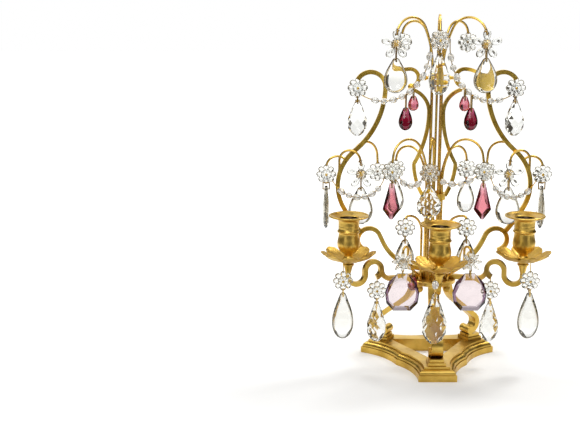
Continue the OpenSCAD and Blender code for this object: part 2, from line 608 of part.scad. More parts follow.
// Hangers: a wire loop through the hole of each drop, the links above it and the swag wires
module upright_wire(p, l) translate(p) cylinder(r = wire_r, h = l, $fn = 16);
module loop(d) {
    lift = d[6] - d[3].z;
    bar = 2 * wire_r + 0.2;
    translate(d[3]) rotate([0, 0, d[4]]) {
        for (k = [-1, 1]) translate([-bar / 2, k * loop_y - bar / 2, -bar / 2]) cube([bar, bar, lift + bar]);
        translate([-bar / 2, -loop_y, lift - bar / 2]) cube([bar, 2 * loop_y, bar]);
        rotate([90, 0, 0]) cylinder(r = wire_r, h = 2 * loop_y, center = true, $fn = 16);
    }
}
module hanger_wires() color(WIRE) {
    for (d = DROPS) loop(d);
    both_sides() {
        upright_wire(inner_ros + [0, 0, rosette_r - 2.5], arm_wire_l + 3.5);
        upright_wire(outer_ros + [0, 0, rosette_r - 2.5], pan_wire_l + pan_t + 2.5);
    }
    upright_wire(front_pin + [0, 0, front_loop], front_top.z - front_pin.z - front_loop);
    for (s = SWAGS) frame_of(swag_ex(s), swag_ez(s), -swag_ey(s), (s[0] + s[1]) / 2
            + swag_ez(s) * (swag_bend(s) - s[2]))
        rotate(-90 - swag_half(s)) rotate_extrude(angle = 2 * swag_half(s), $fn = 90)
            translate([swag_bend(s), 0]) circle(wire_r, $fn = 16);
}

// Drops: the hole is at the origin and runs along Y, and the drop hangs down from it
function swell_to(a, b, t, hollow) = t < belly_t ?
    a + (b - a) * (hollow * (1 - cos(180 * t / belly_t)) / 2 + (1 - hollow) * sin(90 * t / belly_t)) :
    b * sqrt(1 - pow((t - belly_t) / (1 - belly_t), 2));
module pear(size, n, twist, levels, hollow) {
    rings = len(levels);
    points = [for (k = [0 : rings - 1]) for (i = [0 : n - 1])
        let (a = (i + (k % 2) * twist) * 360 / n)
        [swell_to(neck_w / 2, size.y / 2, levels[k], hollow) * cos(a),
         swell_to(neck_t / 2 - 0.6, size.z / 2, levels[k], 1) * sin(a), crown - levels[k] * size.x]];
    function at(k, i) = k * n + (i % n);
    sides = [for (k = [0 : rings - 2]) for (i = [0 : n - 1]) let (s = twist > 0 && k % 2 == 1 ? 1 : 0)
        each [[at(k, i), at(k, i + 1), at(k + 1, i + s)], [at(k, i + 1), at(k + 1, i + 1 + s), at(k + 1, i + s)]]];
    polyhedron(points, concat([[for (i = [n - 1 : -1 : 0]) i], [for (i = [0 : n - 1]) at(rings - 1, i)]], sides));
}
module slab(outline, inner, girdle, t) hull() {
    rotate([90, 0, 0]) linear_extrude(girdle, center = true) polygon(outline);
    rotate([90, 0, 0]) linear_extrude(t, center = true) polygon(inner);
}
module drop_body(kind, size) {
    w = size.y / 2;
    l = size.x;
    if (kind == "cut") pear(size, 8, 0.5, CUT_LEVELS, 0.5);
    if (kind == "fluted") pear(size, 10, 0, FLUTE_LEVELS, 0.5);
    if (kind == "smooth") pear(size, 20, 0, SMOOTH_LEVELS, 0.2);
    if (kind == "kite") {
        half = [[neck_w / 2, crown], [w, crown - 0.72 * l], [1.5, crown - l]];
        inner = [[1, -0.24 * l], [0.55 * w, -0.6 * l], [1, -0.74 * l]];
        slab(concat(half, [for (i = [2 : -1 : 0]) [-half[i].x, half[i].y]]),
            concat(inner, [for (i = [2 : -1 : 0]) [-inner[i].x, inner[i].y]]), 2.6, size.z);
    }
    if (kind == "plate") {
        half = [[0.3 * w, crown], [0.8 * w, -0.14 * l], [w, -0.42 * l], [0.92 * w, -0.7 * l], [0.5 * w, crown - l]];
        inner = [[0.25 * w, -0.12 * l], [0.66 * w, -0.24 * l], [0.84 * w, -0.43 * l], [0.77 * w, -0.64 * l],
            [0.4 * w, -0.79 * l]];
        slab(concat(half, [for (i = [4 : -1 : 0]) [-half[i].x, half[i].y]]),
            concat(inner, [for (i = [4 : -1 : 0]) [-inner[i].x, inner[i].y]]), 2.6, size.z);
    }
}
module drop(d) color(d[2]) translate(d[3]) rotate([0, 0, d[4]]) difference() {
    drop_body(d[1], d[5]);
    rotate([90, 0, 0]) cylinder(r = wire_r + hole_gap, h = 2 * neck_t, center = true);
}

translate([0, stem_y, 0]) {
    base_frame();
    facing(0) leg();  // front_leg
    facing(120) leg();  // right_leg
    facing(-120) leg();  // left_leg
    hub();
    ball_nuts();
    facing(0)  // front_arm
        arm(front_reach, FRONT_ARM, front_rise_r, front_curl_r, front_dip_r, front_seat);
    facing(side_az)  // right_arm
        arm(side_reach, SIDE_ARM, rise_r, curl_r, dip_r, side_seat);
    facing(-side_az)  // left_arm
        arm(side_reach, SIDE_ARM, rise_r, curl_r, dip_r, side_seat);
    facing(0) translate([front_reach, 0, front_seat]) pan();  // front_pan
    facing(side_az) translate([side_reach, 0, side_seat]) pan();  // right_pan
    facing(-side_az) translate([side_reach, 0, side_seat]) pan();  // left_pan
    facing(0) translate([front_reach, 0, front_seat + pan_t]) nozzle();  // front_nozzle
    facing(side_az)  // right_nozzle
        translate([side_reach, 0, side_seat + pan_t]) nozzle();
    facing(-side_az)  // left_nozzle
        translate([side_reach, 0, side_seat + pan_t]) nozzle();
    side_strip();  // right_side_strip
    left_side() side_strip();  // left_side_strip
    inner_strip();  // right_inner_strip
    left_side() inner_strip();  // left_inner_strip
    low_scroll();  // right_low_scroll
    left_side() low_scroll();  // left_low_scroll
    top_scroll();  // right_top_scroll
    left_side() top_scroll();  // left_top_scroll
    stem_ties();
    upper_rods();
    lower_rods();
    shoulder_wires();
    hub_wires();
    rosettes();
    star_flowers();
    swag_beads();
    hanger_wires();
    for (d = DROPS) drop(d);
}
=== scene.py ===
"""Dresses the girandole candle holder: gilt bronze, brass wire, cut glass, and a plain studio."""

import json
import math

import bmesh
import bpy
from mathutils import Matrix, Vector


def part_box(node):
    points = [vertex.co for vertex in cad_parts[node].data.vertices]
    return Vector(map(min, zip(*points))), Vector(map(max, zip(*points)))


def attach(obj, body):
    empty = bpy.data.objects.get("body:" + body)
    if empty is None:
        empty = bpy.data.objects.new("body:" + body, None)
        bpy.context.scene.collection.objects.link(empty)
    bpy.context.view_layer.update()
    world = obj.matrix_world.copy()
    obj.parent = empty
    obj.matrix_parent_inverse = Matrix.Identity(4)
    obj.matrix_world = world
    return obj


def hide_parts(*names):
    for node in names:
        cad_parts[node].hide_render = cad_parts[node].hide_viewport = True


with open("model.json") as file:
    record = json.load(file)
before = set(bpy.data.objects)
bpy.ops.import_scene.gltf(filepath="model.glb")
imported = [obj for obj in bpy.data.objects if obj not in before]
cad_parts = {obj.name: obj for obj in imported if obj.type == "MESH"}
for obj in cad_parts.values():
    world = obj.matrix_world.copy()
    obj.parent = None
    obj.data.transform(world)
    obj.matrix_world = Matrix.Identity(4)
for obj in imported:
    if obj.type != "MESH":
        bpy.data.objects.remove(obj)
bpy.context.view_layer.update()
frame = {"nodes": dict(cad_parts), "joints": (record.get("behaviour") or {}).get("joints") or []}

bl_info = {
    "name": "Girandole candle holder",
    "version": (1, 0, 0),
    "blender": (4, 5, 0),
    "location": "3D View > Sidebar > Girandole",
    "description": "Dresses a three-light girandole with gilt bronze, brass wire and glass drops",
    "category": "Object",
}

MM = 0.001
FRAME_BODY = "frame"
SOCKET_SHADE_ATTRIBUTE, RIM_SHADE_ATTRIBUTE = "painted_socket_shade", "rim"  # attributes that the finishes read: painted socket shade, and painted shade at a drop's rim
WELD, TURN_WELD, SEAM_WELD = 0.005 * MM, 0.001 * MM, 0.01 * MM  # corners nearer than this are one
SLACK = 0.1 * MM
TINY, HAIR = 1e-6, 1e-7
QUARTER = math.pi / 2

# Gilding: waves a metre of its toning, its polish and its file marks, and the tints of painted shade in hollows and
# sockets
TONING_WAVES, POLISH_WAVES, FILE_WAVES = 42, 140, 1500
PAINTED_SHADE_REACH, PAINTED_SHADE_WEIGHT = 7 * MM, 0.75
PAINTED_SHADE_TINT, SOCKET_SHADE_TINT = (0.32, 0.22, 0.10), (0.045, 0.03, 0.018)
# Roughness from its lowest to its highest
SATIN, DULL, DRAWN = (0.27, 0.42), (0.40, 0.55), (0.22, 0.34)

# Glass: waves a metre of its cloud, its smears and its uneven surface, its tints, and its painted edge shades
CLOUD_WAVES, SMEAR_WAVES, SURFACE_WAVES = 120, 300, 160
PALE_TINT, LILAC_TINT, BEAD_TINT = (0.96, 0.93, 0.95), (0.91, 0.85, 0.85), (0.96, 0.96, 0.93)
# Painted shade: colours mixed into the glass at a drop's rim or on its sloping facets, for the dark edges that bent and
# reflected light give
CLEAR_PAINTED_EDGE_SHADE, PURPLE_PAINTED_EDGE_SHADE, LILAC_PAINTED_EDGE_SHADE = (0.24, 0.20, 0.12), (0.22, 0.09, 0.15), (0.07, 0.03, 0.07)
BEVEL_SPAN = (0.95, 0.82)  # of a normal's Y part: level face to sloping facet, where painted bevel shade comes in

NOISE_SPAN = (0.3, 0.7)  # most of a noise lies in it
CAST_CREASE, ROUND_CREASE, FACETED = 28, 62, 0  # degrees

# Nozzles: radius in mm, with the height in mm for the foot and as a share of the whole for the rest
NOZZLE_FOOT = ((0, 0), (6.6, 0), (7.0, 0.5), (7.0, 1.3), (6.4, 2.0), (5.2, 3.0))
NOZZLE_VASE = (
    (5.0, 0.085), (6.2, 0.12), (10.0, 0.17), (13.4, 0.25),
    (14.4, 0.34), (14.0, 0.42), (12.9, 0.50), (12.6, 0.575),
)
NOZZLE_NECK = ((12.9, 0.785), (12.9, 0.83), (13.2, 0.88), (16.0, 0.93))
NECK_R, NECK_LINES = 12.9 * MM, (0.70, 0.76)
RING_FOOT, RING_MIDDLE, RING_R = (12.6, 0.595), (13.0, 0.63), 1.3 * MM
LIP = (1.6, 0.957)  # mm in from the rim, and its height as a share
RIM_ROUND, SOCKET_ROUND = 1.1 * MM, 0.8 * MM
# The dish: mm in from the rim, in radius or out from the socket, and mm down from the top
DISH_OUTER, DISH_MIDDLE, DISH_INNER = ((2.2, 0), (3.2, 1.1)), (15.5, 2.6), ((1.4, 3.0), (0, 4.4))
SOCKET_SHADE_TOP = 4 * MM  # the painted socket shade ends this far below the rim
NOZZLE_STEPS = 72

# Drip pans: the flat middle, the hole, and what shapes a petal
PAN_FLAT, PAN_HOLE, SIDE_PAN_REACH = 7.8 * MM, 3.1 * MM, 34.0 * MM
LOBE = 0.69  # centre of a petal's round end, as a share of the reach
BOWL_POWER = 1.6
CREASE_DEPTH, VEIN_HEIGHT, CUP_DEPTH = 1.5 * MM, 0.55 * MM, 0.9 * MM
CREASE_WIDTH, VEIN_WIDTH, CUP_LIFT = 0.16, 0.10, 0.8
RELIEF_START, RELIEF_FADE = 0.36, 0.3  # where the relief starts and how soon it is full, as shares of the reach
PAN_EDGE = 0.4 * MM

# Rosettes: share of the solid's width that they fill, thickness of both tiers and how far out they stand
ROSETTE_PETALS, ROSETTE_FILL = 8, 0.98
DISC_HALF, DISC_NOTCH = 2.5 * MM, 0.24
TIER_HALF, TIER_NOTCH, TIER_OUT, TIER_SHARE = 1.6 * MM, 0.20, 5.6 * MM, 0.56
FURROW_DEPTH, FURROW_FULL, DISC_SLOPE = 0.55, 0.5, 1.5
PIN_R, PIN_OUT, PIN_FLAT = 1.7 * MM, 7.2 * MM, 0.7
BACK_MARGIN = 12 * MM  # rosettes further behind the hub than this face the wall

# Star flowers: number of petals, their width as a share of the reach, and how pointed they are
BIG_STAR = 16 * MM
BIG_PETALS, SMALL_PETALS = (5, 0.50, 0.0), (8, 0.34, 0.8)
HEART, LEAF_START = 0.36, 0.72  # the dome as a share of the flower, and where petals start as a share of the dome
LEAF_T, LEAF_SWELL = 4.2 * MM, 0.12
LEAF_CREST, LEAF_DISH = 0.68, 0.45  # place of a petal's thick rim, and how thick its dished middle is beside it
LEAF_TILT, TILT_STEP = 6, 12  # degrees; every second petal of a small flower stands out by a step
STAR_BACK, DOME_OUT, BUTTON_IN, BUTTON_T = 2.0 * MM, 1.8 * MM, 2.4 * MM, 1.2 * MM
DOME_RIBS, RIB, DOME_RISE = 12, 0.07, 0.62
BUTTON_BACK, BUTTON_FRONT = 0.42, 0.36  # radius, as a share of the dome's

# Smooth drops: half width and thickness of the neck, and how hollow the curve below it is
NECK_W, NECK_T = 2.7 * MM, 2.4 * MM
WIDTH_HOLLOW, DEPTH_HOLLOW = 0.2, 1.0
WIDEST = 0.64  # place of the belly, as a share of the length
TOP_SHARE, SIDE_SHARE = 0.05, 0.93  # the round top and the sides, as shares of the length
TOP_ROWS, FOOT_ROWS = [0.004, 0.012, 0.025], [0.986, 0.994]
EDGE_SHARE = 0.14  # of its thickness that a flat drop keeps at its edge
FACE_START, FACE_FADE = 0.08, 0.14  # where the level face starts and how soon it is full, as shares of the length
RIM_PAINTED_SHADE = 0.9  # how far the rim takes the painted edge shade
PEAR_ROWS, PEAR_STEPS = 44, 48
DRILL = 30 * MM

# Stage, in metres
RIGHT_AT, LEFT_AT, FRONT_AT = (0.75, 0.6, 1.35), (-0.85, 0.55, 1.25), (-0.5, -1.3, 1.3)
SIDE_AIM, FRONT_AIM = (0, 0, 0.15), (0, 0, 0.2)
SIDE_LIGHT, FRONT_LIGHT = 0.5, 0.9
SENSOR = 36  # mm
CARD_PAINT = (0.07, 0.06, 0.045)
CARD_HEIGHT, CARD_TALL = 0.62, 1.2
SIDE_CARDS = (  # name, degrees from the back, width, distance, and whether glass shows it
    ("back_card", 38, 0.62, 1.1, True),
    ("side_card", 62, 0.35, 0.9, True),
    ("near_card", 118, 0.35, 0.9, True),
    ("gloss_card", 85, 0.9, 0.95, False),
)
LIFT_FROM, LIFT_TO = (0.12, 1.2), (0.14, 0.62)  # the floor's glow from one distance to another
WORLD_LIGHT = 0.50
FLOOR_HALF, FLOOR_WAVES, FLOOR_SHADE = 6, 3, 0.99

CAST_NODES = (
    "base_frame", "front_leg", "right_leg", "left_leg", "hub", "ball_nuts",
    "front_arm", "right_arm", "left_arm",
)
STRIP_NODES = (
    "right_side_strip", "left_side_strip", "right_inner_strip", "left_inner_strip",
    "right_low_scroll", "left_low_scroll", "right_top_scroll", "left_top_scroll", "stem_ties",
)
WIRE_NODES = ("upper_rods", "lower_rods", "shoulder_wires", "hub_wires", "hanger_wires")
NOZZLE_NODES = ("front_nozzle", "right_nozzle", "left_nozzle")
PAN_NODES = ("front_pan", "right_pan", "left_pan")
CUT_DROPS = (
    "top_front_drop", "mid_front_drop", "low_front_drop", "right_far_drop", "left_far_drop",
    "right_arm_inner_drop", "left_arm_inner_drop",
)
LENS_DROPS = ("right_top_drop", "left_top_drop")
FLAT_DROPS = (
    "right_back_drop", "left_back_drop", "right_shoulder_drop", "left_shoulder_drop",
    "right_outer_drop", "left_outer_drop", "right_hook_drop", "left_hook_drop",
    "right_arm_outer_drop", "left_arm_outer_drop",
)
KITE_DROPS = ("right_kite_drop", "left_kite_drop")
PLATE_DROPS = ("right_lilac_drop", "left_lilac_drop")
DARK_DROPS = ("right_dark_drop", "left_dark_drop")
PINK_DROPS = ("right_pink_drop", "left_pink_drop", "hub_pink_drop")


# Finishes

class FinishSettings(bpy.types.PropertyGroup):
    """Colours of the metal and the glass, and how the glass bends light."""
    bronze: bpy.props.FloatVectorProperty(
        name="Gilt bronze", description="Colour of the gilding", subtype="COLOR", size=3,
        min=0, max=1, default=(0.77, 0.515, 0.115))
    bronze_dark: bpy.props.FloatVectorProperty(
        name="Worn gilding", description="Colour where the gilding is worn and toned", subtype="COLOR",
        size=3, min=0, max=1, default=(0.50, 0.30, 0.045))
    # Painted shade: a darker copy of the gilding for the drip pans, which takes down their highlights.
    pan: bpy.props.FloatVectorProperty(
        name="Pan gilding", description="Colour of the gilding on the drip pans", subtype="COLOR", size=3,
        min=0, max=1, default=(0.66, 0.44, 0.10))
    # Painted light: a brighter copy of the gilding, with its worn colour below, for the strips of the lyre.
    strip: bpy.props.FloatVectorProperty(
        name="Strip gilding", description="Colour of the gilding on the strips of the lyre", subtype="COLOR", size=3,
        min=0, max=1, default=(0.98, 0.68, 0.13))
    strip_wear_and_painted_light: bpy.props.FloatVectorProperty(
        name="Worn strip gilding", description="Colour where the gilding of the strips is worn", subtype="COLOR",
        size=3, min=0, max=1, default=(0.72, 0.44, 0.05))
    wire: bpy.props.FloatVectorProperty(
        name="Brass wire", description="Colour of the drawn wire", subtype="COLOR", size=3,
        min=0, max=1, default=(0.85, 0.575, 0.14))
    clear: bpy.props.FloatVectorProperty(
        name="Clear glass", description="Tint of the clear drops", subtype="COLOR", size=3,
        min=0, max=1, default=(0.955, 0.965, 0.96))
    clear_body: bpy.props.FloatVectorProperty(
        name="Clear glass body", description="Faint body colour of the clear glass", subtype="COLOR", size=3,
        min=0, max=1, default=(0.84, 0.81, 0.70))
    purple: bpy.props.FloatVectorProperty(
        name="Purple glass", description="Body colour of the kite drops", subtype="COLOR", size=3,
        min=0, max=1, default=(0.82, 0.26, 0.33))
    dark: bpy.props.FloatVectorProperty(
        name="Dark glass", description="Body colour of the dark pear drops", subtype="COLOR", size=3,
        min=0, max=1, default=(0.68, 0.03, 0.30))
    pink: bpy.props.FloatVectorProperty(
        name="Pink glass", description="Body colour of the small pear drops", subtype="COLOR", size=3,
        min=0, max=1, default=(0.72, 0.14, 0.26))
    lilac: bpy.props.FloatVectorProperty(
        name="Lilac glass", description="Body colour of the plate drops", subtype="COLOR", size=3,
        min=0, max=1, default=(0.60, 0.43, 0.50))
    glass_ior: bpy.props.FloatProperty(
        name="Refraction", description="Index of refraction of lead glass", min=1.3, max=1.8, default=1.54)


class ShapeSettings(bpy.types.PropertyGroup):
    """Sizes of the dressed pieces."""
    petals: bpy.props.IntProperty(
        name="Petals", description="Petals round a drip pan", min=6, max=12, default=8)
    pan_wall: bpy.props.FloatProperty(
        name="Pan wall", description="Thickness of a drip pan", unit="LENGTH", min=0.001, max=0.003,
        default=1.6 * MM)
    socket_r: bpy.props.FloatProperty(
        name="Socket radius", description="Radius of the candle socket", unit="LENGTH", min=0.009,
        max=0.012, default=11.2 * MM)
    socket_depth: bpy.props.FloatProperty(
        name="Socket depth", description="Depth of the candle socket", unit="LENGTH", min=0.02,
        max=0.04, default=32 * MM)
    bore_r: bpy.props.FloatProperty(
        name="Drop hole radius", description="Radius of the hole through a drop", unit="LENGTH",
        min=0.0005, max=0.002, default=1.0 * MM)
    rim: bpy.props.FloatProperty(
        name="Rim", description="Width of the ground rim of a flat drop", unit="LENGTH", min=0.002, max=0.008,
        default=4.6 * MM)
    crown: bpy.props.FloatProperty(
        name="Crown", description="Height of a drop above its hole", unit="LENGTH", min=0.003,
        max=0.006, default=4.5 * MM)


class StageSettings(bpy.types.PropertyGroup):
    """Camera, floor and light."""
    lens: bpy.props.FloatProperty(
        name="Lens", description="Focal length on a 36 mm sensor", subtype="DISTANCE_CAMERA", min=20,
        max=200, default=67.7)
    camera_at: bpy.props.FloatVectorProperty(
        name="Camera", description="Place of the camera", subtype="TRANSLATION", size=3,
        default=(-0.183, -1.3434, 0.491))
    camera_tilt: bpy.props.FloatProperty(
        name="Camera tilt", description="How far the camera looks down", subtype="ANGLE",
        default=math.radians(12.6))
    floor: bpy.props.FloatVectorProperty(
        name="Floor", description="Colour of the floor", subtype="COLOR", size=3, min=0, max=1,
        default=(0.86, 0.86, 0.85))
    key_power: bpy.props.FloatProperty(
        name="Right light", description="Power of the light behind the right side", subtype="POWER", min=0,
        max=200, default=11)
    left_share: bpy.props.FloatProperty(
        name="Left share", description="Power of the light behind the left side, as a share of the right one",
        min=0, max=2, default=0.6)
    fill_power: bpy.props.FloatProperty(
        name="Front light", description="Power of the light in front", subtype="POWER", min=0, max=200, default=9)


def finishes():
    return bpy.context.scene.girandole_finishes


def shapes():
    return bpy.context.scene.girandole_shapes


def staging():
    return bpy.context.scene.girandole_stage


def new_finish(name):
    """An empty material with its shader and output; returns it with its node and link lists."""
    finish = bpy.data.materials.new(name)
    finish.use_nodes = True
    nodes, links = finish.node_tree.nodes, finish.node_tree.links
    nodes.clear()
    shader = nodes.new("ShaderNodeBsdfPrincipled")
    output = nodes.new("ShaderNodeOutputMaterial")
    links.new(shader.outputs["BSDF"], output.inputs["Surface"])
    return finish, nodes, links, shader


def noise(nodes, links, scale, detail, stretch=(1, 1, 1)):
    """A noise on Object coordinates, stretched as given; scale is in waves a metre."""
    place = nodes.new("ShaderNodeTexCoord")
    mapping = nodes.new("ShaderNodeMapping")
    mapping.inputs["Scale"].default_value = stretch
    grain = nodes.new("ShaderNodeTexNoise")
    grain.inputs["Scale"].default_value = scale
    grain.inputs["Detail"].default_value = detail
    links.new(place.outputs["Object"], mapping.inputs["Vector"])
    links.new(mapping.outputs["Vector"], grain.inputs["Vector"])
    return grain.outputs["Fac"]


def ramp(nodes, links, source, low, high, start=0.35, end=0.65):
    """Two colours spread over part of a factor."""
    spread = nodes.new("ShaderNodeValToRGB")
    spread.color_ramp.elements[0].position = start
    spread.color_ramp.elements[1].position = end
    spread.color_ramp.elements[0].color = (*low, 1)
    spread.color_ramp.elements[1].color = (*high, 1)
    links.new(source, spread.inputs["Fac"])
    return spread.outputs["Color"]


def spread_value(nodes, links, source, low, high):
    """A factor mapped to a range of values."""
    span = nodes.new("ShaderNodeMapRange")
    span.inputs["From Min"].default_value, span.inputs["From Max"].default_value = NOISE_SPAN
    span.inputs["To Min"].default_value = low
    span.inputs["To Max"].default_value = high
    links.new(source, span.inputs["Value"])
    return span.outputs["Result"]


def bumps(nodes, links, source, depth, strength, under=None):
    """A bump of that depth in metres, over another one if given."""
    relief = nodes.new("ShaderNodeBump")
    relief.inputs["Distance"].default_value = depth
    relief.inputs["Strength"].default_value = strength
    links.new(source, relief.inputs["Height"])
    if under:
        links.new(under, relief.inputs["Normal"])
    return relief.outputs["Normal"]


def metal_finish(name, bright, worn, rough, grain=(260, 0.2 * MM), stretch=(1, 1, 1), marks=0.04 * MM):
    """Gilded metal: toned, with painted shade darkening its recesses and near-black painted shade in a candle
    socket, and with a cast grain (waves a metre, depth) and file marks.
    """
    finish, nodes, links, shader = new_finish(name)
    shader.inputs["Metallic"].default_value = 1.0
    colour = ramp(nodes, links, noise(nodes, links, TONING_WAVES, detail=4), worn, bright, start=0.28, end=0.58)
    # Painted shade: ambient occlusion darkens the colour in recesses and where parts come close.
    hollow = nodes.new("ShaderNodeAmbientOcclusion")
    hollow.inputs["Distance"].default_value = PAINTED_SHADE_REACH
    hollow.samples = 8
    shade = ramp(nodes, links, hollow.outputs["AO"], PAINTED_SHADE_TINT, (1, 1, 1), start=0.15, end=0.7)
    toned = nodes.new("ShaderNodeMix")
    toned.data_type, toned.blend_type = "RGBA", "MULTIPLY"
    toned.inputs["Factor"].default_value = PAINTED_SHADE_WEIGHT
    links.new(colour, toned.inputs["A"])
    links.new(shade, toned.inputs["B"])
    # Painted shade: near black mixed in on a socket's wall and floor.
    painted_socket_shade = nodes.new("ShaderNodeAttribute")
    painted_socket_shade.attribute_name = SOCKET_SHADE_ATTRIBUTE
    socket_shaded = nodes.new("ShaderNodeMix")
    socket_shaded.data_type = "RGBA"
    socket_shaded.inputs["B"].default_value = (*SOCKET_SHADE_TINT, 1)
    links.new(painted_socket_shade.outputs["Fac"], socket_shaded.inputs["Factor"])
    links.new(toned.outputs["Result"], socket_shaded.inputs["A"])
    links.new(socket_shaded.outputs["Result"], shader.inputs["Base Color"])
    polish = noise(nodes, links, POLISH_WAVES, detail=5)
    links.new(spread_value(nodes, links, polish, *rough), shader.inputs["Roughness"])
    waves, depth = grain
    cast = bumps(nodes, links, noise(nodes, links, waves, detail=3), depth, strength=0.5)
    filed = bumps(nodes, links, noise(nodes, links, FILE_WAVES, 2, stretch), marks, strength=0.4, under=cast)
    links.new(filed, shader.inputs["Normal"])
    return finish


def painted_rim_shade(nodes, _links):
    """Painted shade at a drop's rim and foot, from the piece's own attribute. Called the same way as the bevel mask."""
    share = nodes.new("ShaderNodeAttribute")
    share.attribute_name = RIM_SHADE_ATTRIBUTE
    return share.outputs["Fac"]


def painted_bevel_shade(nodes, links):
    """Painted shade on the bevels: 1 on the facets that slope away from a drop's level faces, which look along Y."""
    place, parts = nodes.new("ShaderNodeTexCoord"), nodes.new("ShaderNodeSeparateXYZ")
    links.new(place.outputs["Normal"], parts.inputs["Vector"])
    size, slope = nodes.new("ShaderNodeMath"), nodes.new("ShaderNodeMapRange")
    size.operation = "ABSOLUTE"
    links.new(parts.outputs["Y"], size.inputs[0])
    slope.inputs["From Min"].default_value, slope.inputs["From Max"].default_value = BEVEL_SPAN
    links.new(size.outputs["Value"], slope.inputs["Value"])
    return slope.outputs["Result"]


def glass_finish(name, tint, depth=0.12 * MM, rough=(0.0, 0.035), shade=0.93, body=None, density=0.0, clear=1.0,
                 edge=None, painted_shade_share=None):
    """Hand-cut glass: a faint cloud, a slow wave in the surface, thin smears, a body colour that deepens
    where the glass is thick, and painted shade, a darker colour on the rim or sloping facets, where one is given."""
    finish, nodes, links, shader = new_finish(name)
    shader.inputs["Transmission Weight"].default_value = clear
    shader.inputs["IOR"].default_value = finishes().glass_ior
    clouded = [shade * channel for channel in tint]
    colour = ramp(nodes, links, noise(nodes, links, CLOUD_WAVES, detail=3), clouded, tint)
    # Painted shade: the edge colour mixed in over the rim or the sloping facets.
    if edge:
        painted_edge_shade = nodes.new("ShaderNodeMix")
        painted_edge_shade.data_type = "RGBA"
        painted_edge_shade.inputs["B"].default_value = (*edge, 1)
        links.new(painted_shade_share(nodes, links), painted_edge_shade.inputs["Factor"])
        links.new(colour, painted_edge_shade.inputs["A"])
        colour = painted_edge_shade.outputs["Result"]
    links.new(colour, shader.inputs["Base Color"])
    smears = noise(nodes, links, SMEAR_WAVES, detail=4)
    links.new(spread_value(nodes, links, smears, *rough), shader.inputs["Roughness"])
    wavy = noise(nodes, links, SURFACE_WAVES, detail=1)
    links.new(bumps(nodes, links, wavy, depth, strength=0.35), shader.inputs["Normal"])
    if body:
        inside = nodes.new("ShaderNodeVolumeAbsorption")
        inside.inputs["Color"].default_value = (*body, 1)
        inside.inputs["Density"].default_value = density
        output = next(node for node in nodes if node.type == "OUTPUT_MATERIAL")
        links.new(inside.outputs["Volume"], output.inputs["Volume"])
    return finish


FINISHES = {}


def finish_of(name):
    """The finish of that name, made once."""
    colours = finishes()
    makers = {
        "gilt_bronze": lambda: metal_finish(name, colours.bronze, colours.bronze_dark, SATIN),
        "pan_bronze_painted_shade": lambda: metal_finish(name, colours.pan, colours.bronze_dark, DULL),
        "strip_bronze_painted_light": lambda: metal_finish(name, colours.strip, colours.strip_wear_and_painted_light, SATIN),
        "brass_wire": lambda: metal_finish(name, colours.wire, colours.bronze_dark, DRAWN, grain=(900, 0.01 * MM),
                                           stretch=(1, 1, 0.08), marks=0.012 * MM),
        "clear_glass": lambda: glass_finish(name, colours.clear, body=colours.clear_body, density=26,
                                            edge=CLEAR_PAINTED_EDGE_SHADE, painted_shade_share=painted_rim_shade),
        "flower_glass": lambda: glass_finish(name, colours.clear, depth=0.10 * MM, rough=(0.0, 0.06), shade=0.90,
                                             body=colours.clear_body, density=70),
        "bead_glass": lambda: glass_finish(name, BEAD_TINT, depth=0.2 * MM, rough=(0.03, 0.16), shade=0.94, clear=0.7),
        "purple_glass": lambda: glass_finish(name, PALE_TINT, body=colours.purple, density=200,
                                             edge=PURPLE_PAINTED_EDGE_SHADE, painted_shade_share=painted_bevel_shade),
        "dark_glass": lambda: glass_finish(name, PALE_TINT, body=colours.dark, density=480),
        "pink_glass": lambda: glass_finish(name, PALE_TINT, body=colours.pink, density=200),
        "lilac_glass": lambda: glass_finish(name, LILAC_TINT, body=colours.lilac, density=34,
                                            edge=LILAC_PAINTED_EDGE_SHADE, painted_shade_share=painted_bevel_shade),
    }
    if name not in FINISHES:
        FINISHES[name] = makers[name]()
    return FINISHES[name]


# Shared making steps

def soft_shading(crease):
    """A node group that joins a node's triangles and shades its curves smooth, with edges past a crease sharp."""
    name = f"soft_shading_{crease}"
    if name in bpy.data.node_groups:
        return bpy.data.node_groups[name]
    group = bpy.data.node_groups.new(name, "GeometryNodeTree")
    group.interface.new_socket("Geometry", in_out="INPUT", socket_type="NodeSocketGeometry")
    group.interface.new_socket("Geometry", in_out="OUTPUT", socket_type="NodeSocketGeometry")
    nodes, links = group.nodes, group.links
    source, result = nodes.new("NodeGroupInput"), nodes.new("NodeGroupOutput")
    joined = nodes.new("GeometryNodeMergeByDistance")
    joined.inputs["Distance"].default_value = WELD
    smooth = nodes.new("GeometryNodeSetShadeSmooth")
    angle = nodes.new("GeometryNodeInputMeshEdgeAngle")
    steep = nodes.new("FunctionNodeCompare")
    steep.operation = "GREATER_THAN"
    steep.inputs["B"].default_value = math.radians(crease)
    sharp = nodes.new("GeometryNodeSetShadeSmooth")
    sharp.domain = "EDGE"
    sharp.inputs["Shade Smooth"].default_value = False
    links.new(source.outputs[0], joined.inputs["Geometry"])
    links.new(joined.outputs["Geometry"], smooth.inputs["Geometry"])
    links.new(smooth.outputs["Geometry"], sharp.inputs["Geometry"])
    links.new(angle.outputs["Unsigned Angle"], steep.inputs["A"])
    links.new(steep.outputs["Result"], sharp.inputs["Selection"])
    links.new(sharp.outputs["Geometry"], result.inputs[0])
    return group


def dress_node(name, finish, crease=CAST_CREASE):
    """Gives a CAD node its finish, and smooth shading over its curves unless it stays faceted."""
    node = frame["nodes"][name]
    node.data.materials.clear()
    node.data.materials.append(finish_of(finish))
    if crease:
        node.modifiers.new("soft_shading", "NODES").node_group = soft_shading(crease)


def to_object(bm, name):
    """Makes an object of a bmesh and puts it in the scene."""
    mesh = bpy.data.meshes.new(name)
    bm.to_mesh(mesh)
    bm.free()
    made = bpy.data.objects.new(name, mesh)
    bpy.context.scene.collection.objects.link(made)
    return made


